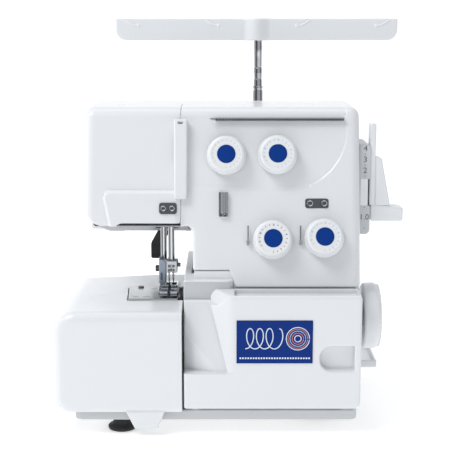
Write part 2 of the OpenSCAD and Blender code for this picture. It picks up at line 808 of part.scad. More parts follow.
module main_feed_dog()
    color("silver") feed_dog(74.5, 88);

module differential_feed_dog()
    color("silver") feed_dog(56.5, 69.5);

module presser_bar()
    color("silver") rod_z_axis(foot_bottom + 18, bar_guide_top + presser_lift + 2, presser_x,
        presser_y, presser_bar_r);

module presser_foot()
    color("silver") difference() {
        union() {
            // Shank
            block([presser_x - 4.5, presser_y - 13, foot_bottom + 8], [presser_x + 3, presser_y + 5,
                foot_bottom + 31]);
            // Toe
            prism_x(presser_x - 3.5, presser_x + 15.5)
                polygon([[48, foot_bottom + 6], [52, foot_bottom], [94, foot_bottom], [95,
                    foot_bottom + 5],
                         [84, foot_bottom + 8], [62, foot_bottom + 8]]);
            rod_x_axis(presser_x - 8, presser_x - 4.5, presser_y - 4, foot_bottom + 20, 3);
        }
        rod_z_axis(foot_bottom + 18, foot_bottom + 32, presser_x, presser_y, presser_bar_r);
        // Needle opening
        block([needle_x - 5, needle_y - 10, foot_bottom - 1], [needle_x + 5, needle_y - 0.5,
            foot_bottom + 20]);
    }

module presser_lifter()
    color([0.12, 0.12, 0.12]) difference() {
        union() {
            rod_y_axis(144, 150, lifter_x, lifter_z, 7);
            prism_y(144, 149) polygon([[lifter_x - 5, lifter_z + 4], [lifter_x + 4, lifter_z - 5],
                [lifter_x - 14, 154],
                                       [lifter_x - 14, 138], [lifter_x - 26, 138], [lifter_x - 26, 154]]);
        }
        rod_y_axis(142, 152, lifter_x, lifter_z, looper_pin_r + running_fit);
    }

// ---- Dials, levers and guides ------------------------------------------------------

module dial_frame(i)
    on_panel(dial_x[i], dial_z[i], dial_lean[i]) children();

module tension_posts()
    color("silver") for (i = [0:3])
        dial_frame(i) translate([0, 0, -post_depth]) cylinder(r = tension_post_r, h = post_depth
            + dial_h - 4);

module tension_discs()
    color("lightgray") for (i = [0:3], k = [0, 1])
        dial_frame(i) translate([0, 0, 1 + k * (disc_t + 0.2)]) ring(tension_post_r + 0.02, disc_r,
            disc_t);

module tension_dial(i)
    color("white") dial_frame(i) difference() {
        translate([0, 0, dial_seat]) rotate_extrude()
            polygon([[0, 0], [dial_skirt_r - 0.6, 0], [dial_skirt_r, 0.8], [dial_skirt_r, 2.6],
                [dial_face_r + 0.8, 4.4],
                     [dial_face_r, dial_h - dial_seat - 1.6], [dial_face_r - 1.5, dial_h - dial_seat],
                     [0, dial_h - dial_seat]]);
        translate([0, 0, dial_seat - 1]) cylinder(r = tension_post_r + running_fit,
            h = dial_h - dial_seat - 2);
        translate([0, 0, dial_h - 1.2]) cylinder(r = dial_cap_r, h = 2);
    }

module tension_dial_1() tension_dial(0);
module tension_dial_2() tension_dial(1);
module tension_dial_3() tension_dial(2);
module tension_dial_4() tension_dial(3);

module dial_cap(i)
    color([0.08, 0.23, 0.57]) dial_frame(i) translate([0, 0, dial_h - 1.2]) cylinder(r = dial_cap_r,
        h = 1.3);

module dial_cap_1() dial_cap(0);
module dial_cap_2() dial_cap(1);
module dial_cap_3() dial_cap(2);
module dial_cap_4() dial_cap(3);

// Long strip that the four threads pass behind
module thread_guide_strip()
    color("silver") on_panel(51, 286) difference() {
        translate([-60, -3, 0.3]) cube([121, 6, 5.7]);
        translate([-61, -2, 1.3]) cube([123, 6, 3.7]);
    }

// Channel guide, two-hole guide and two wire guides on the panel
module panel_thread_guides()
    color("silver") {
        on_panel(-1.5, 210) difference() {
            translate([-4.5, -10.5, 0.3]) cube([9, 21, 5.7]);
            translate([-3, -11, 1.5]) cube([5, 22, 6]);
        }
        on_panel(86, 211) {
            translate([-11, -4, 0.3]) cube([22, 8, 1.2]);
            for (x = [-7, 7])
                translate([x, 0, 0.3]) cylinder(r = 2.2, h = 4);
        }
        for (x = [21.5, 70.5])
            on_panel(x, 182) {
                translate([-1.2, -9, 0.3]) cube([2.4, 4, 5]);
                translate([-0.7, -9, 3.2]) cube([1.4, 18, 1.4]);
            }
    }

module arm_thread_guide()
    color([0.25, 0.25, 0.27]) on_panel(-53, 206) {
        translate([-8.5, -4.5, 4.2]) cube([11, 9, 1.3]);
        for (x = [-5, 0.8])
            translate([x, 0, 5]) cylinder(r = 1.6, h = 2.4);
    }

module lever_housing()
    color("gainsboro") difference() {
        prism_y(housing_y[0], housing_y[1])
            polygon([[body_right + 0.3, housing_z[0]], [lever_side - 2, housing_z[0]], [lever_side,
                housing_z[0] + 8],
                     [lever_side, housing_z[1] - 3], [lever_side - 3, housing_z[1]], [body_right + 0.3,
                         housing_z[1]]]);
        for (z = [stitch_pivot_z, feed_pivot_z])
            rod_x_axis(body_right - 1, lever_side + 1, lever_pivot_y, z, lever_pin_r + running_fit);
    }

// Lever on the side unit: pivot pin, arm and finger grip
module side_lever(pivot_z, grip_low, grip_high, reach, top_reach) {
    rod_x_axis(body_right + 1, lever_side + 4, lever_pivot_y, pivot_z, lever_pin_r);
    prism_x(lever_side + 0.6, lever_side + 4)
        polygon([[lever_pivot_y + 5, pivot_z - 4], [lever_pivot_y + 5, pivot_z + 4], [88,
            grip_high - 2], [74, grip_high - 2],
                 [74, grip_low + 2], [88, grip_low + 2]]);
    prism_y(74, 92)
        polygon([[lever_side + 0.6, grip_low], [lever_side + reach, grip_low + 2], [lever_side + reach,
            grip_low + 9],
                 [lever_side + top_reach, grip_high], [lever_side + 0.6, grip_high]]);
}

module stitch_length_lever()
    color("white") side_lever(stitch_pivot_z, 216, 250, 16, 9);

module differential_lever()
    color("white") side_lever(feed_pivot_z, 190, 206, 31, 20);

// ---- Thread guide and spool stand ----------------------------------------------------

// Curved slit from the bar's top edge to a guide hole
module guide_slit(x, side)
    intersection() {
        difference() {
            rod_y_axis(rod_y - 9, rod_y + 9, x, slit_z + slit_r, slit_r + 0.6);
            rod_y_axis(rod_y - 10, rod_y + 10, x, slit_z + slit_r, slit_r - 0.6);
        }
        translate([x + (side - 1) / 2 * (slit_r + 2), rod_y - 9, slit_z - 1])
            cube([slit_r + 2, 18, bar_top - slit_z + 2]);
    }

module thread_guide_bar()
    color("white") difference() {
        union() {
            prism_y(rod_y - 6, rod_y + 6)
                soft_rect([bar_left, bar_top - bar_h], [bar_right, bar_top], [11, 11, 2, 2]);
            prism_y(rod_y - 8, rod_y + 8)
                soft_rect([rod_x - 20, bar_top - bar_h], [rod_x + 20, bar_top], [2, 2, 2, 2]);
        }
        rod_z_axis(bar_top - bar_h - 1, bar_top - 6, rod_x, rod_y, upper_rod_r + running_fit);
        for (x = guide_hole_x) {
            rod_y_axis(rod_y - 9, rod_y + 9, x, slit_z, 1.5);
            guide_slit(x, x < rod_x ? -1 : 1);
        }
    }

module upper_rod()
    color("silver") rod_z_axis(upper_rod_foot, bar_top - 6.5, rod_x, rod_y, upper_rod_r);

module lower_rod()
    color("silver") difference() {
        rod_z_axis(stand_top + 0.5, lower_rod_top, rod_x, rod_y, lower_rod_r);
        rod_z_axis(stand_top + 3, lower_rod_top + 1, rod_x, rod_y, upper_rod_r + running_fit);
    }

module spool_stand()
    color("white") {
        difference() {
            translate([0, 0, foot_h]) linear_extrude(stand_top - foot_h)
                soft_rect([spool_x0 - 30, body_depth + 1], [spool_x0 + 3 * spool_pitch + 30, stand_depth],
                          [2, 2, 16, 16]);
            translate([0, 0, foot_h + 3]) linear_extrude(stand_top)
                soft_rect([spool_x0 - 27, body_depth + 4], [spool_x0 + 3 * spool_pitch + 27,
                    stand_depth - 3],
                          [2, 2, 13, 13]);
        }
        // Seats for the spools, and the socket of the rod
        for (k = [0:3])
            rod_z_axis(foot_h, stand_top + 3, spool_x0 + k * spool_pitch, spool_y, 16);
        difference() {
            rod_z_axis(foot_h, stand_top + 20, rod_x, rod_y, lower_rod_r + 5);
            rod_z_axis(stand_top + 0.5, stand_top + 30, rod_x, rod_y, lower_rod_r);
        }
    }

module spool_pins()
    color("white") for (k = [0:3])
        rod_z_axis(stand_top + 3, stand_top + 3 + spool_pin_h, spool_x0 + k * spool_pitch, spool_y,
            spool_pin_r);

// ---- Electrics --------------------------------------------------------------------

module power_inlet()
    color([0.12, 0.12, 0.12]) {
        difference() {
            block([body_right - 18, inlet_y[0] + 0.4, inlet_z[0] + 0.4], [body_right + 0.6,
                inlet_y[1] - 0.4, inlet_z[1] - 0.4]);
            block([body_right - 14, inlet_y[0] + 3, inlet_z[0] + 4], [body_right + 1, inlet_y[1] - 3,
                inlet_z[1] - 4]);
        }
        for (y = [128, 135, 142])
            rod_x_axis(body_right - 15, body_right - 6, y, 50, 1);
    }

// Rocker, tilting about a level axis
module power_switch()
    color([0.12, 0.12, 0.12]) intersection() {
        union() {
            rod_y_axis(switch_y[0] + 1, switch_y[1] - 1, body_right - 4, 86, 6);
            prism_y(switch_y[0] + 1, switch_y[1] - 1)
                polygon([[body_right - 5, 76], [body_right + 0.4, 76], [body_right + 2.6, 86],
                    [body_right + 0.4, 96],
                         [body_right - 5, 96]]);
        }
        block([body_right - 12, switch_y[0], switch_z[0]], [body_right + 4, switch_y[1], switch_z[1]]);
    }

module placed() translate([-origin_x, -origin_y, 0]) children();

placed() base_tray();
placed() rubber_feet();
placed() main_frame();
placed() tension_plate();
placed() bushings();
placed() front_cover();
placed() face_cover();
placed() rear_cover();
placed() side_cover();
placed() bed_cover();
placed() thread_bar_cover();
placed() cover_screws();
placed() hinge_rod();
placed() looper_cover();
placed() front_badge();
placed() cloth_plate_cover();
placed() needle_plate();
placed() plate_screws();
placed() lever_housing();
placed() stitch_length_lever();
placed() differential_lever();
placed() main_shaft();
placed() shaft_pulley();
placed() handwheel();
placed() motor();
placed() motor_pulley();
placed() drive_belt();
placed() needle_bar();
placed() needle_clamp();
placed() needles();
placed() take_up_lever();
placed() upper_looper();
placed() lower_looper();
placed() upper_knife();
placed() lower_knife();
placed() main_feed_dog();
placed() differential_feed_dog();
placed() presser_bar();
placed() presser_foot();
placed() presser_lifter();
placed() tension_posts();
placed() tension_discs();
placed() tension_dial_1();
placed() tension_dial_2();
placed() tension_dial_3();
placed() tension_dial_4();
placed() dial_cap_1();
placed() dial_cap_2();
placed() dial_cap_3();
placed() dial_cap_4();
placed() thread_guide_strip();
placed() panel_thread_guides();
placed() arm_thread_guide();
placed() thread_guide_bar();
placed() upper_rod();
placed() lower_rod();
placed() spool_stand();
placed() spool_pins();
placed() power_inlet();
placed() power_switch();
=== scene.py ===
import math
import bmesh
import bpy
import numpy as np
from mathutils import Matrix, Vector


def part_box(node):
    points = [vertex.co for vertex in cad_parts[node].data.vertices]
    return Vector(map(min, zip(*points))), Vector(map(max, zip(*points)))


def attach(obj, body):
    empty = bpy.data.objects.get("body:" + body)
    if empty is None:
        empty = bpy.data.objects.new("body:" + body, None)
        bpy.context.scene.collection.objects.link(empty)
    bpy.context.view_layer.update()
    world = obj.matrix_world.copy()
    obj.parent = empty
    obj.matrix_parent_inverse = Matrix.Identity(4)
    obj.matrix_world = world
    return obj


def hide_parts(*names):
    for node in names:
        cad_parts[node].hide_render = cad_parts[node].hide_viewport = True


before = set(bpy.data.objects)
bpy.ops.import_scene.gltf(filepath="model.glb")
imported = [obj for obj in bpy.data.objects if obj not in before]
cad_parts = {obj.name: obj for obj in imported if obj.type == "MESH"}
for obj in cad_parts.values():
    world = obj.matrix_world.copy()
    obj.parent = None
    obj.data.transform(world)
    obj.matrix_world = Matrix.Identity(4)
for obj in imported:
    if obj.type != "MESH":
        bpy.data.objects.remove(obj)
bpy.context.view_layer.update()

scene = bpy.context.scene
mm = 0.001
quarter = math.pi / 2
fullTurn = 6.2832

# Sizes are millimetres: x from the column's reference line, y from the door's face, z from the table
doorLow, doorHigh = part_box("looper_cover")
doorLeft = -38.0
datum = np.array([doorLow.x - doorLeft * mm, doorLow.y, 0.0])
toFrame = Matrix.Translation(Vector(datum)) @ Matrix.Scale(mm, 4)

body = dict(
    left=-133.0, right=127.0, back=165.0, top=299.0, seam=112.0, split=-41.5, wall=2.5,
    armBottom=190.0, armTurn=52.0, armFall=0.24, columnLeft=-30.0, footZ=135.0, footY=31.0,
    lean=math.radians(14), corner=9.0, edge=3.0, throat=6.0, joint=0.03,
)


def boxOf(node):
    # a part's low and high corner in millimetres
    return [(np.array(p) - datum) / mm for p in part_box(node)]


def panelY(z):
    return body["footY"] + (z - body["footZ"]) * math.tan(body["lean"])


def panelMatrix(x, z, lean=body["lean"]):
    # local z leaves the panel, local y runs up it
    return Matrix.Translation((x, panelY(z), z)) @ Matrix.Rotation(quarter - lean, 4, "X")


# Shapes as distance fields, in millimetres, negative inside
def smooth(t):
    t = np.clip(t, 0, 1)
    return t * t * (3 - 2 * t)


def meet(*fields, r=1.0):
    high = fields[0]
    total = np.maximum(fields[0] + r, 0) ** 2
    for f in fields[1:]:
        high = np.maximum(high, f)
        total = total + np.maximum(f + r, 0) ** 2
    return np.minimum(high, -r) + np.sqrt(total)


def join(a, b, r=0.0):
    if r <= 0:
        return np.minimum(a, b)
    return np.maximum(np.minimum(a, b), r) - np.sqrt(np.maximum(r - a, 0) ** 2 + np.maximum(r - b, 0) ** 2)


def carve(a, b, r=0.8):
    return meet(a, -b, r=r)


def rect(u, v, low, high, radii):
    # radii: low left, low right, top right, top left, or one number for all
    cu, cv = (low[0] + high[0]) / 2, (low[1] + high[1]) / 2
    r = radii
    if isinstance(radii, (tuple, list)):
        r = np.where(u > cu, np.where(v > cv, radii[2], radii[1]), np.where(v > cv, radii[3], radii[0]))
    qu = abs(u - cu) - (high[0] - low[0]) / 2 + r
    qv = abs(v - cv) - (high[1] - low[1]) / 2 + r
    return np.minimum(np.maximum(qu, qv), 0) + np.sqrt(np.maximum(qu, 0) ** 2 + np.maximum(qv, 0) ** 2) - r


def block(x, y, z, low, high, r=0.8):
    q = [abs(p - (a + b) / 2) - (b - a) / 2 + r for p, a, b in zip((x, y, z), low, high)]
    outside = np.sqrt(sum(np.maximum(side, 0) ** 2 for side in q))
    return outside + np.minimum(np.maximum(np.maximum(q[0], q[1]), q[2]), 0) - r


def line(u, v, a, b):
    # distance to the right of the line from a to b
    du, dv = b[0] - a[0], b[1] - a[1]
    return ((u - a[0]) * dv - (v - a[1]) * du) / math.hypot(du, dv)


def tube(u, v, cu, cv, r):
    return np.sqrt((u - cu) ** 2 + (v - cv) ** 2) - r


def disc(u, v, w, centre, r, low, high):
    # round bar along w
    return np.maximum(np.maximum(tube(u, v, *centre, r), low - w), w - high)


def slopes(field, p, h):
    g = np.empty_like(p)
    for i, step in enumerate(np.eye(3) * h):
        g[:, i] = field(*(p + step).T) - field(*(p - step).T)
    return g / (2 * h)


def newObject(name, data):
    made = bpy.data.objects.new(name, data)
    scene.collection.objects.link(made)
    return made


def quadMesh(name, points, faces, normals, edge):
    mesh = bpy.data.meshes.new(name)
    mesh.vertices.add(len(points))
    mesh.vertices.foreach_set("co", np.asarray(points, np.float32).ravel())
    mesh.loops.add(faces.size)
    mesh.loops.foreach_set("vertex_index", faces.astype(np.int32).ravel())
    mesh.polygons.add(len(faces))
    mesh.polygons.foreach_set("loop_start", np.arange(0, faces.size, faces.shape[1], dtype=np.int32))
    mesh.update(calc_edges=True)
    mesh.validate()
    mesh.polygons.foreach_set("use_smooth", np.ones(len(mesh.polygons), bool))
    mesh.attributes.new("edge", "FLOAT", "POINT").data.foreach_set("value", edge.astype(np.float32))
    mesh.normals_split_custom_set_from_vertices(normals.tolist())
    return mesh


skinning = dict(margin=2.5, coarse=1.7, turns=5, relaxed=(1, 2, 3), pull=0.5, reach=0.6, probe=0.1, normalProbe=0.2)


def skin(name, field, low, high, step):
    # net of quads on the field's zero surface, moved onto it, with the field's own normals
    s = skinning
    low, high = np.array(low, float), np.array(high, float)
    axes = [np.arange(low[i] - s["margin"] * step, high[i] + s["margin"] * step, step) for i in range(3)]
    shape = tuple(len(a) for a in axes)
    grid = np.broadcast_to(field(axes[0][:, None, None], axes[1][None, :, None], axes[2][None, None, :]), shape)
    solid = grid < 0
    corners = [(i, j, k) for i in (0, 1) for j in (0, 1) for k in (0, 1)]
    count = np.zeros([n - 1 for n in shape], np.int8)
    for i, j, k in corners:
        count += solid[i:shape[0] - 1 + i, j:shape[1] - 1 + j, k:shape[2] - 1 + k]
    cells = np.argwhere((count > 0) & (count < 8))
    index = np.full(count.shape, -1, np.int64)
    index[tuple(cells.T)] = np.arange(len(cells))
    value = {c: grid[tuple((cells + c).T)] for c in corners}
    total, hits = np.zeros((len(cells), 3)), np.zeros(len(cells))
    for a in corners:
        for axis in [i for i in range(3) if not a[i]]:
            b = tuple(1 if i == axis else a[i] for i in range(3))
            crossed = (value[a] < 0) != (value[b] < 0)
            at = np.tile(np.array(a, float), (len(cells), 1))
            at[:, axis] = value[a] / np.where(crossed, value[a] - value[b], 1)
            total += at * crossed[:, None]
            hits += crossed
    points = (cells + total / hits[:, None]) * step + np.array([a[0] for a in axes])
    faces = []
    for axis in range(3):
        u, v = (axis + 1) % 3, (axis + 2) % 3
        here, nextOne = [slice(1, -1)] * 3, [slice(1, -1)] * 3
        here[axis], nextOne[axis] = slice(0, -1), slice(1, None)
        changed = np.argwhere(solid[tuple(here)] != solid[tuple(nextOne)])
        for other in (u, v):
            changed[:, other] += 1
        inside = solid[tuple(changed.T)]
        du, dv = np.eye(3, dtype=int)[u], np.eye(3, dtype=int)[v]
        ring = [changed, changed - du, changed - du - dv, changed - dv]
        quad = np.stack([index[tuple(c.T)] for c in ring], 1)
        quad[~inside] = quad[~inside][:, ::-1]
        faces.append(quad)
    faces = np.concatenate(faces)
    tails, heads = faces.ravel(), np.roll(faces, -1, axis=1).ravel()
    degree = np.bincount(tails, minlength=len(points)).astype(float)
    for turn in range(s["turns"]):
        if turn in s["relaxed"]:
            pull = np.stack([np.bincount(tails, points[heads, i], len(points)) for i in range(3)], 1)
            points += s["pull"] * (pull / degree[:, None] - points)
        g = slopes(field, points, s["probe"])
        move = (field(*points.T) / np.maximum((g ** 2).sum(1), 0.05))[:, None] * g
        size = np.linalg.norm(move, axis=1, keepdims=True)
        points -= move * np.minimum(1, s["reach"] * step / np.maximum(size, 1e-9))
    g = slopes(field, points, s["normalProbe"])
    g /= np.maximum(np.linalg.norm(g, axis=1, keepdims=True), 1e-9)
    # how sharply the surface bends: above zero on outer edges, below zero in corners
    bend = -6 * field(*points.T)
    for away in np.vstack([np.eye(3), -np.eye(3)]):
        bend = bend + field(*(points + away).T)
    print(" ", name, len(faces) * 2, "triangles")
    return newObject(name, quadMesh(name, points * mm + datum, faces, g, np.clip(bend * 1.5, -1, 1)))


# Node trees: sockets are given by name or number, as a value or as another node's output
def plug(tree, node, sockets):
    for key, value in sockets.items():
        if isinstance(value, bpy.types.NodeSocket):
            tree.links.new(value, node.inputs[key])
        else:
            node.inputs[key].default_value = value
    return node


def nodeIn(tree, kind, sockets=(), **settings):
    node = tree.nodes.new(kind)
    for key, value in settings.items():
        setattr(node, key, value)
    return plug(tree, node, dict(sockets))


def newGroup(name, inputs, outputs):
    tree = bpy.data.node_groups.new(name, "ShaderNodeTree")
    kinds = {"c": "NodeSocketColor", "f": "NodeSocketFloat", "v": "NodeSocketVector"}
    for key, (kind, value) in inputs.items():
        socket = tree.interface.new_socket(key, in_out="INPUT", socket_type=kinds[kind])
        socket.default_value = value
    for key, kind in outputs.items():
        tree.interface.new_socket(key, in_out="OUTPUT", socket_type=kinds[kind])
    return tree, tree.nodes.new("NodeGroupInput").outputs, tree.nodes.new("NodeGroupOutput")


def mixColour(tree, share, a, b, blend="MIX"):
    return nodeIn(tree, "ShaderNodeMix", {0: share, 6: a, 7: b}, data_type="RGBA", blend_type=blend).outputs[2]


def reckon(tree, operation, a, b=None, clamp=False):
    given = {0: a} if b is None else {0: a, 1: b}
    return nodeIn(tree, "ShaderNodeMath", given, operation=operation, use_clamp=clamp).outputs[0]


def noise(tree, where, scale, detail):
    return nodeIn(tree, "ShaderNodeTexNoise", {"Vector": where, "Scale": scale, "Detail": detail}).outputs[0]


def makeGrainGroup():
    tree, given, out = newGroup(
        "surfaceGrain",
        {"Colour": ("c", (0.8, 0.8, 0.8, 1)), "Patch Colour": ("c", (0.7, 0.7, 0.7, 1)), "Patch Size": ("f", 30.0),
         "Patch Amount": ("f", 0.3), "Grain Size": ("f", 900.0), "Stretch": ("v", (1, 1, 1)),
         "Roughness": ("f", 0.3), "Roughness Change": ("f", 0.1)},
        {"Colour": "c", "Roughness": "f", "Height": "f"})
    where = nodeIn(tree, "ShaderNodeTexCoord").outputs["Object"]
    drawn = nodeIn(tree, "ShaderNodeVectorMath", {0: where, 1: given["Stretch"]}, operation="MULTIPLY").outputs[0]
    patches = noise(tree, where, given["Patch Size"], 3)
    grain = noise(tree, drawn, given["Grain Size"], 2)
    patch = reckon(tree, "MULTIPLY", patches, given["Patch Amount"], True)
    swing = reckon(tree, "ADD", reckon(tree, "SUBTRACT", patches, 0.5), reckon(tree, "SUBTRACT", grain, 0.5))
    both = reckon(tree, "MULTIPLY", swing, given["Roughness Change"])
    plug(tree, out, {"Colour": mixColour(tree, patch, given["Colour"], given["Patch Colour"]),
                     "Roughness": reckon(tree, "ADD", both, given["Roughness"], True), "Height": grain})
    return tree


def makeWearGroup():
    tree, given, out = newGroup(
        "edgeWear",
        {"Colour": ("c", (0.8, 0.8, 0.8, 1)), "Worn Colour": ("c", (0.9, 0.9, 0.9, 1)),
         "Dirt Colour": ("c", (0.5, 0.5, 0.48, 1)), "Wear": ("f", 0.3), "Dirt": ("f", 0.3), "Roughness": ("f", 0.3)},
        {"Colour": "c", "Roughness": "f"})
    edge = nodeIn(tree, "ShaderNodeAttribute", attribute_name="edge").outputs["Fac"]
    broken = noise(tree, nodeIn(tree, "ShaderNodeTexCoord").outputs["Object"], 160, 4)
    rubbed = reckon(tree, "MULTIPLY", edge, broken, True)
    worn = reckon(tree, "MULTIPLY", rubbed, given["Wear"], True)
    dirty = reckon(tree, "MULTIPLY", reckon(tree, "MULTIPLY", edge, -1.0, True), given["Dirt"], True)
    first = mixColour(tree, worn, given["Colour"], given["Worn Colour"])
    rough = reckon(tree, "ADD", given["Roughness"], reckon(tree, "MULTIPLY", dirty, 0.4), True)
    plug(tree, out, {"Colour": mixColour(tree, dirty, first, given["Dirt Colour"]), "Roughness": rough})
    return tree


# painted reflection: band brightness across the way the surface faces, from left to right
reflectionRamp = ((0.0, 0.75), (0.1, 0.7), (0.16, 0.12), (0.38, 0.1), (0.45, 0.95), (0.68, 1.0), (0.74, 0.35), (0.82, 0.25),
          (0.9, 0.9))


def makeReflectionGroup():
    # painted reflection: dark and light bands that polished round metal would mirror on its left and right flanks, set
    # by which way the surface faces
    tree, given, out = newGroup("paintedReflectionBands", {"Colour": ("c", (0.6, 0.6, 0.6, 1)), "Depth": ("f", 0.8)},
                                {"Colour": "c"})
    facing = nodeIn(tree, "ShaderNodeTexCoord").outputs["Normal"]
    across = nodeIn(tree, "ShaderNodeSeparateXYZ", {0: facing}).outputs["X"]
    share = reckon(tree, "ADD", reckon(tree, "MULTIPLY", across, 0.5), 0.5)
    ramp = nodeIn(tree, "ShaderNodeValToRGB", {0: share})
    reflectionBands = ramp.color_ramp.elements
    reflectionBands[0].position, reflectionBands[1].position = reflectionRamp[0][0], reflectionRamp[1][0]
    for place, _ in reflectionRamp[2:]:
        reflectionBands.new(place)
    for strip, (_, value) in zip(reflectionBands, reflectionRamp):
        strip.color = (value, value, value, 1)
    mixed = mixColour(tree, given["Depth"], given["Colour"], ramp.outputs["Color"], "MULTIPLY")
    plug(tree, out, {"Colour": mixed})
    return tree


grainGroup, wearGroup, reflectionGroup = makeGrainGroup(), makeWearGroup(), makeReflectionGroup()


def finish(name, colour, patch=None, patchSize=25, patchAmount=0.35, grain=1500, stretch=(1, 1, 1), bump=0.05,
           rough=0.3, roughChange=0.1, metal=0.0, coat=0.0, wear=0.2, dirt=0.35, worn=None, ior=1.5, reflectionBands=0.0):
    material = bpy.data.materials.new(name)
    material.use_nodes = True
    tree = material.node_tree
    patch = patch or tuple(c * 0.93 for c in colour)
    worn = worn or tuple(min(1, c * 1.08) for c in colour)
    dirtColour = [c * 0.72 for c in colour]
    grained = nodeIn(tree, "ShaderNodeGroup", node_tree=grainGroup)
    plug(tree, grained, {"Colour": (*colour, 1), "Patch Colour": (*patch, 1), "Patch Size": patchSize,
                         "Patch Amount": patchAmount, "Grain Size": grain, "Stretch": stretch,
                         "Roughness": rough, "Roughness Change": roughChange})
    worked = nodeIn(tree, "ShaderNodeGroup", node_tree=wearGroup)
    plug(tree, worked, {"Colour": grained.outputs["Colour"], "Worn Colour": (*worn, 1),
                        "Dirt Colour": (*dirtColour, 1), "Wear": wear, "Dirt": dirt,
                        "Roughness": grained.outputs["Roughness"]})
    shown = worked.outputs["Colour"]
    # painted reflection bands, multiplied into the colour
    if reflectionBands:
        reflected = nodeIn(tree, "ShaderNodeGroup", node_tree=reflectionGroup)
        shown = plug(tree, reflected, {"Depth": reflectionBands, "Colour": shown}).outputs["Colour"]
    relief = nodeIn(tree, "ShaderNodeBump", {"Strength": bump, "Distance": 0.0004, "Height": grained.outputs["Height"]})
    plug(tree, tree.nodes["Principled BSDF"], {
        "Base Color": shown, "Roughness": worked.outputs["Roughness"], "Normal": relief.outputs[0],
        "Metallic": metal, "IOR": ior, "Coat Weight": coat, "Coat Roughness": 0.12})
    return material


finishes = dict(
    white_plastic=finish("whiteShell", (0.80, 0.815, 0.83), patch=(0.775, 0.79, 0.81), rough=0.3, bump=0.04, coat=0.25),
    dial_plastic=finish("dialWhite", (0.83, 0.84, 0.85), rough=0.36, bump=0.05, coat=0.1),
    grey_plastic=finish("paleGrey", (0.62, 0.635, 0.645), rough=0.42, bump=0.12, grain=1100),
    blue_plastic=finish("capBlue", (0.002, 0.038, 0.24), ior=1.22, rough=0.45, bump=0.12, grain=1800,
                        worn=(0.006, 0.05, 0.27)),
    blue_label=finish("plateBlue", (0.003, 0.032, 0.215), ior=1.22, rough=0.42, bump=0.03, worn=(0.006, 0.05, 0.25)),
    black_rubber=finish("footRubber", (0.012, 0.012, 0.013), rough=0.62, bump=0.35, grain=700, patch=(0.03, 0.03, 0.03)),
    black_plastic=finish("blackPlastic", (0.016, 0.016, 0.018), rough=0.42, bump=0.18, grain=900,
                         patch=(0.03, 0.03, 0.033)),
    cast_frame=finish("castFrame", (0.40, 0.41, 0.42), rough=0.55, bump=0.5, grain=420, metal=0.6,
                      patch=(0.32, 0.33, 0.34)),
    bronze=finish("bushBronze", (0.55, 0.36, 0.16), rough=0.35, bump=0.15, metal=1.0, patch=(0.42, 0.27, 0.12)),
    sheet_metal=finish("plateSteel", (0.60, 0.61, 0.62), rough=0.3, bump=0.16, metal=1.0, stretch=(0.06, 1, 1), grain=900),
    # chrome carries painted reflection bands
    chrome=finish("chrome", (0.66, 0.67, 0.69), rough=0.12, roughChange=0.06, bump=0.02, metal=1.0, dirt=0.2, reflectionBands=0.9),
    dark_steel=finish("darkSteel", (0.17, 0.175, 0.185), rough=0.32, bump=0.12, metal=1.0, stretch=(1, 1, 0.1)),
    shaft_steel=finish("shaftSteel", (0.50, 0.51, 0.53), rough=0.24, bump=0.1, metal=1.0, stretch=(1, 0.05, 1),
                       grain=1200),
    pulley_steel=finish("pulleySteel", (0.30, 0.31, 0.32), rough=0.4, bump=0.2, metal=0.9, grain=600),
    belt_rubber=finish("beltRubber", (0.02, 0.02, 0.021), rough=0.7, bump=0.4, grain=500),
)
paleInk = finish("paleInk", (0.33, 0.55, 0.86), rough=0.45, bump=0.02)
darkInk = finish("darkInk", (0.10, 0.105, 0.11), rough=0.45, bump=0.02)
greyInk = finish("greyInk", (0.45, 0.46, 0.47), rough=0.45, bump=0.02)
whiteInk = finish("whiteInk", (0.80, 0.84, 0.92), rough=0.4, bump=0.02)
warmInk = finish("warmInk", (0.62, 0.20, 0.14), rough=0.4, bump=0.02)
# white of the lever window plate, also used as a painted highlight on the thread guide's slit rims
plateAndHighlightWhite = finish("plateAndHighlightWhite", (0.90, 0.905, 0.91), rough=0.3, bump=0.03)
# painted shade: greys for the sheets under the arm and behind the chute
armShadeGrey = finish("armShadeGrey", (0.40, 0.415, 0.43), rough=0.5, bump=0.06)
chuteShadeGrey = finish("chuteShadeGrey", (0.59, 0.605, 0.62), rough=0.5, bump=0.06)
shankSteel = finish("shankSteel", (0.33, 0.38, 0.44), rough=0.34, bump=0.1, metal=0.85)
print("finishes made:", len(finishes) + 9)

cadFinish = dict(
    white_plastic="""front_cover face_cover rear_cover side_cover bed_cover thread_bar_cover looper_cover
        cloth_plate_cover stitch_length_lever differential_lever handwheel thread_guide_bar spool_stand spool_pins""",
    dial_plastic="tension_dial_1 tension_dial_2 tension_dial_3 tension_dial_4",
    grey_plastic="base_tray lever_housing",
    blue_plastic="dial_cap_1 dial_cap_2 dial_cap_3 dial_cap_4",
    blue_label="front_badge",
    black_rubber="rubber_feet",
    black_plastic="presser_lifter power_inlet power_switch",
    cast_frame="main_frame",
    bronze="bushings",
    sheet_metal="tension_plate needle_plate thread_guide_strip panel_thread_guides",
    chrome="""cover_screws upper_rod lower_rod needle_bar presser_bar hinge_rod needles take_up_lever upper_looper
        lower_looper presser_foot tension_posts tension_discs""",
    dark_steel="plate_screws upper_knife lower_knife arm_thread_guide motor",
    shaft_steel="main_shaft main_feed_dog differential_feed_dog needle_clamp",
    pulley_steel="shaft_pulley motor_pulley",
    belt_rubber="drive_belt",
)
for slotName, nodes in cadFinish.items():
    for node in nodes.split():
        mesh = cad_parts[node].data
        mesh.materials.clear()
        mesh.materials.append(finishes[slotName])


def settle(piece, rides, slotName, nodes=(), material=None):
    piece.data.materials.clear()
    piece.data.materials.append(material or finishes[slotName])
    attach(piece, rides)
    if nodes:
        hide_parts(*nodes)
    return piece


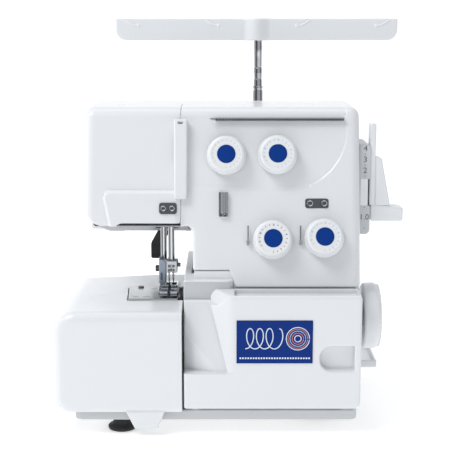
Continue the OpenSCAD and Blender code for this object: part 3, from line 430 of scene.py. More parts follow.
# Turned, cut and bent parts
def spin(profile, segments):
    # profile is (radius, height); a profile that keeps off the axis closes on itself
    verts, rings, faces = [], [], []
    angles = np.linspace(0, 2 * math.pi, segments, endpoint=False)
    for radius, height in profile:
        if radius < 1e-6:
            rings.append([len(verts)])
            verts.append((0, 0, height))
        else:
            rings.append(list(range(len(verts), len(verts) + segments)))
            verts += [(radius * math.cos(a), radius * math.sin(a), height) for a in angles]
    pairs = list(zip(rings, rings[1:])) + ([(rings[-1], rings[0])] if len(rings[0]) > 1 else [])
    for low, high in pairs:
        for k in range(segments):
            j = (k + 1) % segments
            if len(low) == 1:
                faces.append((low[0], high[j], high[k]))
            elif len(high) == 1:
                faces.append((low[k], low[j], high[0]))
            else:
                faces.append((low[k], low[j], high[j], high[k]))
    mesh = bpy.data.meshes.new("turned")
    mesh.from_pydata(verts, [], faces)
    return mesh


def meshPiece(name, mesh, place=None, sharp=35):
    build = bmesh.new()
    build.from_mesh(mesh)
    bmesh.ops.remove_doubles(build, verts=build.verts, dist=1e-5)
    bmesh.ops.recalc_face_normals(build, faces=build.faces)
    build.to_mesh(mesh)
    build.free()
    mesh.name = name
    mesh.transform(toFrame @ (place or Matrix.Identity(4)))
    mesh.polygons.foreach_set("use_smooth", np.ones(len(mesh.polygons), bool))
    mesh.set_sharp_from_angle(angle=math.radians(sharp))
    return newObject(name, mesh)


def lathe(name, profile, segments=72, place=None, sharp=35):
    return meshPiece(name, spin(profile, segments), place, sharp)


def rodMesh(start, end, radius, segments=32, bevel=0.25):
    start, end = Vector(start), Vector(end)
    length = (end - start).length
    c = min(bevel, radius * 0.5)
    rows = [(0, 0), (radius - c, 0), (radius, c), (radius, length - c), (radius - c, length), (0, length)]
    return moved(spin(rows, segments), start, (end - start).to_track_quat("Z", "Y").to_matrix().to_4x4())


def moved(mesh, place, turn=Matrix.Identity(4)):
    mesh.transform(Matrix.Translation(place) @ turn)
    return mesh


def turned(angle, axis):
    return Matrix.Rotation(angle, 4, axis)


def softened(mesh, offset, segments=2):
    build = bmesh.new()
    build.from_mesh(mesh)
    bmesh.ops.bevel(build, geom=build.edges[:], offset=offset, segments=segments, affect="EDGES", clamp_overlap=True)
    build.to_mesh(mesh)
    build.free()
    return mesh


def slabMesh(outline, thickness, bevel=0.3):
    # flat outline pushed along z, its edges rounded
    build = bmesh.new()
    made = bmesh.ops.extrude_face_region(
        build, geom=[build.faces.new([build.verts.new((u, v, 0)) for u, v in outline])])
    top = [e for e in made["geom"] if isinstance(e, bmesh.types.BMVert)]
    bmesh.ops.translate(build, vec=(0, 0, thickness), verts=top)
    mesh = bpy.data.meshes.new("slab")
    build.to_mesh(mesh)
    build.free()
    return softened(mesh, bevel)


def boxMesh(low, high, bevel=0.4):
    size = Vector(high) - Vector(low)
    return moved(slabMesh([(0, 0), (size.x, 0), (size.x, size.y), (0, size.y)], size.z, bevel), low)


def gather(name, parts, place=None, sharp=35):
    # one piece from several small meshes, in millimetres
    build = bmesh.new()
    for part in parts:
        build.from_mesh(part)
        bpy.data.meshes.remove(part)
    mesh = bpy.data.meshes.new(name)
    build.to_mesh(mesh)
    build.free()
    return meshPiece(name, mesh, place, sharp)


def plainMesh(holder):
    made = bpy.data.meshes.new_from_object(holder.evaluated_get(bpy.context.evaluated_depsgraph_get()))
    holder.modifiers.clear()
    bpy.data.objects.remove(holder)
    return made


def wireMesh(points, radius):
    # bent wire through the points
    curve = bpy.data.curves.new("wire", "CURVE")
    curve.dimensions = "3D"
    curve.bevel_depth = radius
    curve.bevel_resolution = 2
    curve.resolution_u = 8
    curve.use_fill_caps = True
    spline = curve.splines.new("BEZIER")
    spline.bezier_points.add(len(points) - 1)
    for bezier, point in zip(spline.bezier_points, points):
        bezier.co = point
        bezier.handle_left_type = bezier.handle_right_type = "AUTO"
    return plainMesh(newObject("wire", curve))


def signMesh(text, size, place, thickness=0.12):
    curve = bpy.data.curves.new("sign", "FONT")
    curve.body = text
    curve.size = size
    curve.align_x, curve.align_y = "CENTER", "CENTER"
    curve.extrude = thickness / 2
    curve.resolution_u = 3
    mesh = plainMesh(newObject("sign", curve))
    mesh.transform(place)
    return mesh


# Repeating parts, as Geometry Nodes
def newTree(name, sizes):
    tree = bpy.data.node_groups.new(name, "GeometryNodeTree")
    for way in ("INPUT", "OUTPUT"):
        tree.interface.new_socket("Geometry", in_out=way, socket_type="NodeSocketGeometry")
    for key, value in sizes.items():
        kind = "NodeSocketInt" if isinstance(value, int) else "NodeSocketFloat"
        tree.interface.new_socket(key, in_out="INPUT", socket_type=kind).default_value = value
    tree.interface.new_socket("Finish", in_out="INPUT", socket_type="NodeSocketMaterial")
    return tree, tree.nodes.new("NodeGroupInput").outputs, tree.nodes.new("NodeGroupOutput")


def vector(tree, x=0.0, y=0.0, z=0.0):
    return nodeIn(tree, "ShaderNodeCombineXYZ", {0: x, 1: y, 2: z}).outputs[0]


def barNode(tree, given):
    size = vector(tree, given["Length"], given["Width"], given["Height"])
    return nodeIn(tree, "GeometryNodeMeshCube", {"Size": size}).outputs[0]


def closeTree(tree, given, out, points, instance, rotation):
    put = nodeIn(tree, "GeometryNodeInstanceOnPoints", {"Points": points, "Instance": instance, "Rotation": rotation})
    real = nodeIn(tree, "GeometryNodeRealizeInstances", {0: put.outputs[0]})
    paint = nodeIn(tree, "GeometryNodeSetMaterial", {"Geometry": real.outputs[0], "Material": given["Finish"]})
    plug(tree, out, {0: paint.outputs[0]})
    return tree


def ringTree():
    # bars, ribs or ticks round a circle
    tree, given, out = newTree("ringOfBars", {"Count": 12, "Start": 0.0, "Sweep": 6.283, "Radius": 10.0, "Lift": 0.0,
                                              "Length": 1.5, "Width": 0.4, "Height": 0.2})
    row = nodeIn(tree, "GeometryNodeMeshLine", {"Count": given["Count"]}).outputs[0]
    share = reckon(tree, "DIVIDE", nodeIn(tree, "GeometryNodeInputIndex").outputs[0], given["Count"])
    angle = reckon(tree, "ADD", reckon(tree, "MULTIPLY", share, given["Sweep"]), given["Start"])
    x, y = [reckon(tree, "MULTIPLY", reckon(tree, side, angle), given["Radius"]) for side in ("COSINE", "SINE")]
    ring = nodeIn(tree, "GeometryNodeSetPosition", {"Geometry": row, "Position": vector(tree, x, y, given["Lift"])})
    return closeTree(tree, given, out, ring.outputs[0], barNode(tree, given), vector(tree, z=angle))


def rowTree():
    # bars side by side along x
    tree, given, out = newTree("rowOfBars", {"Count": 6, "Pitch": 2.0, "Length": 1.0, "Width": 1.0, "Height": 1.0,
                                             "Turn": 0.0})
    row = nodeIn(tree, "GeometryNodeMeshLine", {"Count": given["Count"], "Offset": vector(tree, given["Pitch"])})
    return closeTree(tree, given, out, row.outputs[0], barNode(tree, given), vector(tree, z=given["Turn"]))


def screwTree():
    # slotted screw heads on the points of the mesh that carries the modifier, facing along z
    tree, given, out = newTree("screwHeads", {"Head Radius": 3.2, "Head Height": 1.6, "Slot Width": 0.8, "Turn": 0.6})
    head = nodeIn(tree, "GeometryNodeMeshCylinder", {"Vertices": 32, "Radius": given["Head Radius"],
                                                     "Depth": given["Head Height"]})
    long = reckon(tree, "MULTIPLY", given["Head Radius"], 3.0)
    slot = nodeIn(tree, "GeometryNodeMeshCube", {"Size": vector(tree, long, given["Slot Width"], given["Head Height"])})
    lift = vector(tree, z=reckon(tree, "MULTIPLY", given["Head Height"], 0.6))
    raised = nodeIn(tree, "GeometryNodeTransform", {"Geometry": slot.outputs[0], "Translation": lift})
    cut = nodeIn(tree, "GeometryNodeMeshBoolean", {"Mesh 1": head.outputs["Mesh"], "Mesh 2": raised.outputs[0]},
                 operation="DIFFERENCE")
    index = nodeIn(tree, "GeometryNodeInputIndex").outputs[0]
    turn = reckon(tree, "MULTIPLY", reckon(tree, "ADD", index, 0.4), given["Turn"])
    return closeTree(tree, given, out, given["Geometry"], cut.outputs["Mesh"], vector(tree, z=turn))


trees = dict(ring=ringTree(), row=rowTree(), screws=screwTree())


def grow(tree, slotName, points=((0, 0, 0),), **sizes):
    # runs a tree and hands back its plain mesh, in millimetres
    mesh = bpy.data.meshes.new("seedPoints")
    mesh.from_pydata(points, [], [])
    holder = newObject("grower", mesh)
    maker = holder.modifiers.new("maker", "NODES")
    maker.node_group = trees[tree]
    wanted = {key.replace("_", " "): value for key, value in sizes.items()}
    wanted["Finish"] = finishes.get(slotName, slotName)
    for item in trees[tree].interface.items_tree:
        if item.item_type == "SOCKET" and item.in_out == "INPUT" and item.name in wanted:
            maker[item.identifier] = wanted[item.name]
    return plainMesh(holder)


def mould(name, field, low, high, step, rides, slotName, nodes=(), material=None):
    return settle(skin(name, field, low, high, step), rides, slotName, nodes, material)


# Head covers
relief = dict(lip=3.6, lipTop=222.0, lipLeft=-111.5, right=1.1, bulge=0.77, arc=(60.0, 279.0), arcRadius=54.5, end=114.0)
dialStand = 14.45
dialLean = [math.radians(a) for a in (14, 14, 19, 19)]
dialSeats = []
for number, lean in enumerate(dialLean):
    low, high = boxOf("dial_cap_%d" % (number + 1))
    dialSeats.append((low + high) / 2 - np.array([0, -math.cos(lean), math.sin(lean)]) * dialStand)


def arcSide(x, z):
    # positive right of the curved step at the end of the upper panel
    cx, cz = relief["arc"]
    radius = relief["arcRadius"]
    return np.where(z > cz, x - relief["end"], np.where(x > cx, tube(x, z, cx, cz, radius), cz - radius - z))


def proud(x, z):
    # how far the lower level stands in front of the upper one
    lipField = meet(relief["lipLeft"] + (206.5 - z) * 0.22 - x, z - relief["lipTop"], r=6.0)
    lip = smooth(0.5 - lipField / 3.2) * (1 - smooth((x + 48) / 12)) * relief["lip"]
    right = smooth(0.5 + arcSide(x, z) / np.where(x > 80, 2.2, 7.0)) * smooth((x + 36) / 24) * relief["right"]
    return lip + right + relief["bulge"] * smooth((224 - z) / 26) * (1 - smooth((x + 34) / 30)) * smooth((x + 75) / 34)


def armUnder(y):
    # the arm's underside falls towards the back
    return body["armBottom"] - np.maximum(y - body["armTurn"], 0) * body["armFall"]


def headSolid(x, y, z):
    b = body
    front = (panelY(z) - proud(x, z) - y) * math.cos(b["lean"])
    box = meet(front, z - b["top"], b["left"] - x, x - b["right"], y - b["back"], r=b["corner"])
    return box, join((armUnder(y) - z) / 1.02, b["columnLeft"] - x, r=b["throat"])


openings = dict(bars=((-67.0, 71.0), (-45.0, 99.0)), lifter=((-103.0, 141.0), (-40.0, 153.0)), top=214.0,
                takeUp=((-45, 40, 232), (-37, 80, 283)), post=3.6)


def barHoles(x, y, z):
    bars, lifter = rect(x, y, *openings["bars"], 5.0), rect(x, y, *openings["lifter"], 4.0)
    return np.maximum(np.minimum(bars, lifter), z - openings["top"])


def slant(x, z):
    return -0.6727 * (x + 122.0) - 0.7399 * (z - 190.0)


def frontFoot(x):
    # the panel's lower edge climbs beside the ledge
    return 134.4 + 15.6 * (1 - smooth((x - 4.0) / 6.5))


def frontCover(x, y, z):
    b = body
    box, outline = headSolid(x, y, z)
    solid = meet(box, meet(outline, frontFoot(x) - z, r=1.4), r=b["edge"])
    hollow = meet(box + b["wall"], outline + b["wall"], r=1.0)
    slab = np.maximum(b["split"] + b["joint"] - x, y - (b["seam"] - 0.2))
    cover = join(meet(solid, slab, -hollow, r=0.3), block(x, y, z, (8.0, 33.0, 126.5), (125.5, 35.0, 138.0), 0.6), r=0.4)
    for seat in dialSeats:
        cover = carve(cover, tube(x, z, seat[0], seat[2], openings["post"]), r=0.3)
    return carve(cover, block(x, y, z, *openings["takeUp"], 1), r=0.3)


def faceCover(x, y, z):
    b = body
    box, outline = headSolid(x, y, z)
    wave = 1.3 * np.sin((x + 100) / 9.5) * smooth((-60 - x) / 20) + 0.6
    notch = rect(x, z, (-103, 170), (-41.8, 193.2), (1, 1, 1, 7)) + 0 * y
    notch = np.maximum(notch, z - 193.2 - wave * smooth((x + 104) / 14))
    solid = meet(box, meet(outline, slant(x, z), r=5.0), r=b["edge"])
    solid = carve(solid, np.maximum(notch, y - 66), r=0.9)
    hollow = meet(box + b["wall"], outline + b["wall"], slant(x, z) + b["wall"], r=1.0)
    slab = np.maximum(x - (b["split"] - b["joint"]), y - (b["seam"] - 0.2))
    cover = carve(meet(solid, slab, -hollow, r=0.3), barHoles(x, y, z), r=0.5)
    return carve(cover, block(x, y, z, *openings["takeUp"], 1), r=0.3)


rear = dict(foot=24.3, bed=((-40, 100, 10), (-27.4, 162, 139.2)), windows=(((121, 38), (149, 62)), ((126, 74), (144, 98))),
            louvres=7, firstLouvre=20, pitch=12, louvreLow=50, louvreHigh=84, louvreWide=5)


def rearCover(x, y, z):
    b = body
    box, outline = headSolid(x, y, z)
    solid = meet(box, outline, rear["foot"] - z, r=2.0)
    hollow = meet(box + b["wall"], outline + b["wall"], r=1.0)
    cover = carve(meet(solid, b["seam"] + 0.3 - y, -hollow, r=0.5), barHoles(x, y, z), r=0.5)
    # the bed passes through the lower left wall
    cover = carve(cover, block(x, y, z, *rear["bed"], 0.5), r=0.4)
    for low, high in rear["windows"]:
        cover = carve(cover, block(x, y, z, (120, *low), (130, *high), 0.8), r=0.6)
    for k in range(rear["louvres"]):
        left = rear["firstLouvre"] + rear["pitch"] * k
        slot = rect(x, z, (left, rear["louvreLow"]), (left + rear["louvreWide"], rear["louvreHigh"]), 2.4)
        cover = carve(cover, slot + 0 * y, r=0.6)
    return cover


def sideCover(x, y, z):
    b = body
    solid = meet(x - b["right"], b["right"] - b["wall"] - x, 31.6 - y, y - 111.6, 24.4 - z, z - 134.0, r=0.7)
    return carve(solid, tube(y, z, 66.0, 98.7, 12.0), r=0.6)


bed = dict(left=-38.5, wall=-30.8, front=28.3, back=165.0, top=142.0)


def bedCover(x, y, z):
    # ledge, its left wall, the wall behind the chute and the corner that turns back under the panel
    e = bed
    ledge = meet(rect(x, y, (e["left"], e["front"]), (9.0, 60.0), (1.5, 9.0, 1.0, 1.0)), z - e["top"], 128.0 - z, r=1.8)
    long = meet(e["left"] - x, x - e["wall"], e["front"] - y, y - e["back"], z - e["top"], 120.0 - z, r=1.8)
    wallBack = block(x, y, z, (e["left"], e["front"], 69.0), (-17.0, 30.8, 134.0), 0.8)
    post = block(x, y, z, (e["left"], 162.5, 24.4), (e["wall"], e["back"], 141.0), 0.8)
    solid = join(np.minimum(np.minimum(ledge, long), post), wallBack, r=0.5)
    solid = np.minimum(solid, block(x, y, z, (-28.8, 35.0, 128.0), (8.2, 58.0, 149.7), 0.5))
    inner = block(x, y, z, (-36.0, 30.8, 110.0), (-20.0, 162.5, 139.5), 0.8)
    inner = np.minimum(inner, block(x, y, z, (-30.0, 30.8, 120.0), (5.0, 62.0, 139.5), 0.8))
    return carve(solid, inner, r=0.4)


for name, field, low, high, step in (
        ("front_cover", frontCover, (-42, 30, 134), (127, 112, 299), 1.3),
        ("face_cover", faceCover, (-134, 38, 188), (-41, 112, 300), 1.15),
        ("rear_cover", rearCover, (-133, 112, 24), (127, 165, 299), 1.6),
        ("side_cover", sideCover, (124, 31, 24), (127, 112, 134), 1.0),
        ("bed_cover", bedCover, (-39, 28, 24), (10, 165, 150), 1.1)):
    mould(name + "_shell", field, low, high, step, "machine", "white_plastic", [name])
print("head covers made")


# Painted shade: grey sheets laid under the arm and on the wall behind the chute, where the white covers fall into shade
def armShadeSheet(x, y, z):
    under = armUnder(y)
    plan = rect(x, y, (-119.0, 49.0), (-35.0, 150.0), 4.0)
    return carve(meet(plan, under - 0.9 - z, z - under - 0.4, r=0.3), barHoles(x, y, z), r=0.2)


mould("arm_underside_shade_sheet", armShadeSheet, (-119, 49, 164), (-35, 150, 191), 0.9, "machine", "grey_plastic",
      material=armShadeGrey)
# painted shade on the wall behind the chute
chuteShadeSheet = gather("chute_back_shade_sheet", [boxMesh((-37.9, 27.75, 122.0), (4.5, 28.35, 140.6), 0.2)])
settle(chuteShadeSheet, "machine", "grey_plastic", material=chuteShadeGrey)

# Looper cover with its waste chute and finger recess
door = dict(right=126.0, foot=25.5, top=134.0, chuteFoot=61.0, ridgeTop=(-12.7, 126.0), ridgeFoot=(1.8, 64.0),
            depthFoot=4.0, depthTop=22.5, chuteTop=124.0, pocket=((87, 63), (119, 87)), pocketDeep=8.0,
            hinge=(4.5, 29.5), lugs=(-20, 96), lugWide=7, lugRadius=3.6, pinRadius=1.6)


def looperCover(x, y, z):
    d = door
    ridge = line(x, z, d["ridgeFoot"], d["ridgeTop"])
    outer = meet(-y, doorLeft - x, x - d["right"], d["foot"] - z, r=2.6)
    outline = rect(x, z, (-60.0, d["foot"]), (d["right"], d["top"]), (0.1, 8.0, 3.0, 0.1))
    outer = meet(outer, outline, r=3.4)
    facetTop = (z - d["top"] - 1.05 * (x - 5.0) - 0.511 * y) / 1.54
    corner = np.minimum(z - 124.3, np.maximum(facetTop, -ridge - 0.5))
    outer = meet(outer, np.where(x < 60, corner, -50), r=1.0)
    rise = (d["depthTop"] - d["depthFoot"]) / (d["chuteTop"] - d["chuteFoot"])
    floor = (y - d["depthFoot"] - rise * (z - d["chuteFoot"])) / math.hypot(1, rise)
    channel = meet(ridge + 0.12 * y, floor, d["chuteFoot"] - z, r=1.6)
    facet = meet((y - 0.35 * (5.0 - x)) / 1.06, x - 8.0, d["chuteFoot"] - z, r=0.5)
    solid = carve(carve(outer, facet, r=0.9), channel, r=1.1)
    pocket = rect(x, z, *d["pocket"], (11.0, 1.5, 1.5, 11.0))
    solid = carve(solid, meet(pocket, y - d["pocketDeep"], r=2.0), r=1.6)
    # the top rim is low behind its front edge
    cover = meet(solid, y - np.where(x < -12.0, 27.5, 30.0), -(solid + body["wall"]), r=0.5)
    cover = carve(cover, block(x, y, z, (9.0, 3.6, 129.6), (123.4, 27.6, 140.0), 1.6), r=0.9)
    shelf = block(x, y, z, (5.0, 2.0, 127.0), (125.0, 29.8, 129.6), 0.5)
    rim = block(x, y, z, (5.0, 27.6, 127.0), (125.0, 29.8, 134.0), 0.6)
    cover = join(cover, np.maximum(np.minimum(shelf, rim), outer + 0.1), r=0.5)
    for start in d["lugs"]:
        lug = np.maximum(disc(y, z, x, d["hinge"], d["lugRadius"], start, start + d["lugWide"]), 1.0 - y)
        cover = carve(join(cover, lug, r=0.4), tube(y, z, *d["hinge"], d["pinRadius"]) + 0 * x, r=0.2)
    return cover


mould("looper_cover_shell", looperCover, (-38, 0, 25), (126, 30, 134), 1.0, "looper_door", "white_plastic",
      ["looper_cover"])
print("looper cover made")

# Cloth plate cover with its pull tab
plate = dict(left=-159.0, right=-39.5, back=165.0, foot=19.5, top=118.0, fall=3.5, wall=2.5, round=9.0)


def plateCover(x, y, z):
    p = plate
    lifted = z + p["fall"] * smooth(y / p["back"]) * smooth((-45.0 - x) / 110.0)
    outer = meet(rect(x, lifted, (p["left"], p["foot"]), (0.0, p["top"]), (18.0, 1.0, 1.0, 22.0)), -y, y - p["back"],
                 r=p["round"])
    outer = meet(outer, p["foot"] - z, r=1.5)
    inside = rect(x, lifted, (p["left"] + p["wall"], -20.0), (0.0, p["top"] - p["wall"]), (1.0, 1.0, 1.0, 20.0))
    hollow = meet(inside, p["wall"] - y, y - p["back"] + p["wall"], r=7.5)
    cover = meet(outer, x - p["right"], -hollow, r=0.6)
    opening = meet(line(x, y, (-95.9, 103.0), (-92.8, 48.0)), 49.2 - y, y - 101.8, 105.0 - z, r=0.8)
    cover = carve(cover, opening, r=0.5)
    left, right = line(x, z, (-90.0, 20.5), (-83.5, 7.5)), line(x, z, (-62.0, 7.5), (-57.0, 20.5))
    return join(cover, meet(left, right, 7.5 - z, z - 24.0, -y, y - p["wall"], r=0.9), r=0.6)


mould("cloth_plate_shell", plateCover, (-159, 0, 7), (-39, 165, 118), 1.35, "cloth_plate", "white_plastic",
      ["cloth_plate_cover"])
print("cloth plate cover made")

# Tension dials
dialSizes = dict(face=16.7, skirt=18.4, seat=3.4, cap=8.6, markRadius=12.7, digit=3.3, digits=9, ticks=18,
                 start=math.radians(-90), sweep=math.radians(320), lift=14.72)
dialMarks = (("grey", greyInk, False), ("pale", paleInk, True), ("dark", darkInk, True), ("pale", paleInk, True))
d = dialSizes
skirt, face, capRadius = d["skirt"], d["face"], d["cap"]
dialProfile = [(0, d["seat"]), (skirt - 1.0, d["seat"]), (skirt - 0.3, d["seat"] + 0.2), (skirt, d["seat"] + 0.9),
               (skirt, 5.6), (skirt - 0.25, 6.2), (face + 0.9, 6.9), (face + 0.55, 7.4), (face + 0.3, 10.0), (face, 13.0),
               (face - 0.35, 14.0), (face - 1.0, 14.7), (face - 1.9, 15.0), (face - 2.6, 14.95), (face - 3.2, 14.7),
               (capRadius + 1.2, 14.7), (capRadius + 0.6, 14.85), (capRadius + 0.05, 14.7), (capRadius, 13.9), (0, 13.9)]
capProfile = [(0, 14.0), (capRadius - 0.1, 14.0), (capRadius - 0.1, 14.9), (capRadius - 0.4, 15.15),
              (capRadius - 1.0, 15.2), (0, 15.2)]
for k, (_, ink, numbered) in enumerate(dialMarks):
    number, start, sweep = str(k + 1), d["start"], d["sweep"]
    place = Matrix.Translation(Vector(dialSeats[k])) @ turned(quarter - dialLean[k], "X")
    dial = lathe("tension_dial_%s_body" % number, dialProfile, 96, place, sharp=50)
    settle(dial, "dial_" + number, "dial_plastic", ["tension_dial_" + number])
    cap = lathe("dial_cap_%s_disc" % number, capProfile, 72, place)
    settle(cap, "dial_" + number, "blue_plastic", ["dial_cap_" + number])
    bars = dict(Sweep=sweep, Radius=d["markRadius"], Lift=d["lift"], Width=0.5, Height=0.14)
    if numbered:
        parts = [grow("ring", ink, Count=d["digits"], Start=start + sweep / d["ticks"], Length=1.3, **bars)]
        for n in range(d["digits"]):
            out = Matrix.Translation((d["markRadius"], 0, d["lift"] + 0.02)) @ turned(-quarter, "Z")
            parts.append(signMesh(str(n + 1), d["digit"], turned(start + sweep * n / d["digits"], "Z") @ out))
    else:
        parts = [grow("ring", ink, Count=d["ticks"], Start=start, Length=1.0, **bars)]
    settle(gather("dial_marks_" + number, parts, place), "dial_" + number, "dial_plastic", material=ink)
print("dials made")


# Thread bar cover, over the take-up lever
def onPanel(x, y, z, x0, z0, lean=body["lean"]):
    dy, dz = y - panelY(z0), z - z0
    return x - x0, dy * math.sin(lean) + dz * math.cos(lean), -dy * math.cos(lean) + dz * math.sin(lean)


def barCover(x, y, z):
    u, v, w = onPanel(x, y, z, body["split"], 255.0)
    solid = meet(abs(u) - 6.3 - 0.004 * v, abs(v + 3.0) - 36.4, w - 8.3 - 0.012 * v, 0.3 - w, r=2.0)
    solid = join(solid, block(u, v, w, (-5.6, -41.6, 0.4), (5.6, -37.0, 7.0), 1.6), r=0.5)
    solid = carve(solid, block(u, v, w, (-4.2, -34.0, -3.0), (4.2, 29.0, 5.9), 1.0), r=0.3)
    solid = carve(solid, block(u, v, w, (-9.0, -6.0, 1.6), (-3.0, 21.0, 3.4), 0.6), r=0.4)
    return carve(solid, block(u, v, w, (-2.6, 28.6, 5.4), (2.2, 30.6, 12.0), 0.5), r=0.4)


mould("thread_bar_cover_shell", barCover, (-49, 40, 214), (-34, 80, 296), 0.75, "machine", "white_plastic",
      ["thread_bar_cover"])

# Thread guide on its mast
guide = dict(left=-115.0, right=181.0, top=381.0, high=23.0, x=35.0, y=215.0, thick=6.0, holes=(-91, -7, 75, 158),
             below=7.5, bend=17.0, hub=10.5, socket=4.5, socketTop=375.0)


def guideBar(x, y, z):
    g = guide
    low = g["top"] - g["high"]
    arms = meet(rect(x, z, (g["left"], low), (g["right"], g["top"]), (11.0, 11.0, 2.0, 2.0)), abs(y - g["y"]) - g["thick"],
                r=1.8)
    hub = meet(tube(x, y, g["x"] - 2.0, g["y"], g["hub"]), z - g["top"], low - z, r=1.8)
    solid = meet(join(arms, hub, r=5.0), z - g["top"], low - z, r=0.8)
    solid = carve(solid, np.maximum(tube(x, y, g["x"], g["y"], g["socket"]), z - g["socketTop"]), r=0.3)
    for at in g["holes"]:
        side = -1 if at < g["x"] else 1
        centre = g["top"] - g["below"] + g["bend"]
        slit = np.maximum(abs(tube(x, z, at, centre, g["bend"])) - 0.35, np.maximum(-side * (x - at), z - centre))
        solid = carve(solid, slit, r=0.25)
        solid = carve(solid, tube(x, z, at, g["top"] - g["below"], 1.3) + 0 * y, r=0.4)
    return solid


mould("thread_guide_bar_body", guideBar, (-115, 203, 358), (181, 227, 381), 1.0, "guide_bar", "white_plastic",
      ["thread_guide_bar"])
# rims along the slits in a whiter white: painted highlight
rims = []
for at in guide["holes"]:
    g, side = guide, -1 if at < guide["x"] else 1
    low, reach = g["top"] - g["below"], math.acos(1 - (g["below"] - 0.8) / g["bend"])
    for front in (g["y"] - g["thick"], g["y"] + g["thick"]):
        bow = [(at + side * g["bend"] * math.sin(a), front, low + g["bend"] * (1 - math.cos(a)))
               for a in np.linspace(0.0, reach, 9)]
        rims += [wireMesh(bow, 0.8), rodMesh((at, front - 0.7, low), (at, front + 0.7, low), 1.9, 24, 0.5)]
settle(gather("thread_guide_rims", rims, sharp=60), "guide_bar", "white_plastic", material=plateAndHighlightWhite)


def rodPiece(node, rides, profile):
    # profile gets the rod's low and high ends
    low, high = boxOf(node)
    middle = ((low[0] + high[0]) / 2, (low[1] + high[1]) / 2, 0)
    piece = lathe(node + "_chrome", profile(low[2], high[2]), 48, Matrix.Translation(middle), sharp=60)
    settle(piece, rides, "chrome", [node])


def upperProfile(low, high, radius=4.35, dimples=(318.0, 330.0)):
    steps = [(0, low), (radius - 0.4, low), (radius, low + 0.4)]
    for at in dimples:
        steps += [(radius - 0.5 * math.sin(math.pi * t / 8), at - 1.2 + 2.4 * t / 8) for t in range(9)]
    return steps + [(radius, high - 0.5), (radius - 0.5, high), (0, high)]


def lowerProfile(low, high, bore=4.45, radius=5.2):
    return [(bore, low), (bore, high), (radius - 0.4, high), (radius, high - 0.5), (radius, 307.6),
            (radius - 0.5, 306.8), (radius - 0.5, 305.6), (radius, 304.8), (radius, low + 0.4), (radius - 0.4, low)]


rodPiece("upper_rod", "mast", upperProfile)
rodPiece("lower_rod", "machine", lowerProfile)
print("thread guide made")

# Handwheel
wheel = dict(place=(132.0, 66.0, 98.7), r=32.0, wide=17.0, ribs=40)
wheelPlace = Matrix.Translation(wheel["place"]) @ turned(quarter, "Y")
r, w = wheel["r"], wheel["wide"]
rim = [(0, 10.2), (6.05, 10.2), (6.05, -2.5), (9.6, -2.5), (10.0, -2.0), (10.0, 0.0), (r - 3.0, 0.0), (r - 1.6, 0.4),
       (r - 0.6, 1.4), (r - 0.4, 2.6)]
rim += [(r - 7.5 + 7.5 * math.cos(a), w - 7.5 + 7.5 * math.sin(a)) for a in np.linspace(0, quarter, 10)]
rim += [(r - 11, w - 0.3), (r - 13, w - 1.2), (16, w - 3.2), (14.2, w - 3.4), (13.0, w - 3.0), (12.2, w - 2.2),
        (10.8, w - 1.8), (0, w - 1.8)]
settle(lathe("handwheel_body", rim, 96, wheelPlace, sharp=40), "drive_shaft", "white_plastic", ["handwheel"])
ribs = grow("ring", "white_plastic", Count=wheel["ribs"], Start=0.0, Sweep=fullTurn, Radius=r - 4.6, Lift=w - 2.2,
            Length=5.6, Width=1.3, Height=2.6)
settle(gather("handwheel_grip", [softened(ribs, 0.45)], wheelPlace), "drive_shaft", "white_plastic")
print("handwheel made")

# Lever unit on the right side
unit = dict(left=127.3, right=139.0, foot=177.0, top=264.0, front=72.0, back=122.0, pivotY=112.0, pivots=(228.0, 200.0),
            window=((136.6, 60.0, 205.0), (145.0, 92.5, 231.0)), armLeft=139.6, armRight=143.0, pin=3.0, signX=133.4,
            signY=71.95, digit=7.6)


def leverHousing(x, y, z):
    n = unit
    outline = rect(x, z, (110.0, n["foot"]), (n["right"], n["top"]), (0.1, 4.5, 4.5, 0.1))
    solid = meet(outline, n["front"] - y, y - n["back"], n["left"] - x, r=2.0)
    solid = carve(solid, block(x, y, z, *n["window"], 0.8), r=0.5)
    for pivot in n["pivots"]:
        solid = carve(solid, tube(y, z, n["pivotY"], pivot, 3.2) + 0 * x, r=0.3)
    return solid


def leverPin(x, y, z, pivot):
    return disc(y, z, x, (unit["pivotY"], pivot), unit["pin"], 128.0, unit["armRight"])


def stitchLever(x, y, z):
    arm = block(x, y, z, (unit["armLeft"], 74.0, 214.0), (unit["armRight"], 117.0, 232.0), 1.0)
    prong = block(x, y, z, (138.0, 74.0, 205.0), (143.6, 90.0, 283.5), 1.6)
    wedge = meet(line(x, z, (157.0, 212.0), (149.5, 250.0)), 143.8 - x, 205.0 - z, z - 251.0, 74.0 - y, y - 91.0, r=1.6)
    return join(join(join(arm, prong, r=1.0), wedge, r=0.8), leverPin(x, y, z, unit["pivots"][0]), r=0.3)


def feedLever(x, y, z):
    arm = block(x, y, z, (unit["armLeft"], 74.0, 192.0), (unit["armRight"], 117.0, 204.0), 1.0)
    top = line(x, z, (171.0, 203.0), (140.0, 206.5))
    nub = meet(top, unit["armLeft"] - x, x - 171.0, 189.5 - z, 74.0 - y, y - 92.0, r=2.2)
    return join(join(arm, nub, r=1.0), leverPin(x, y, z, unit["pivots"][1]), r=0.3)


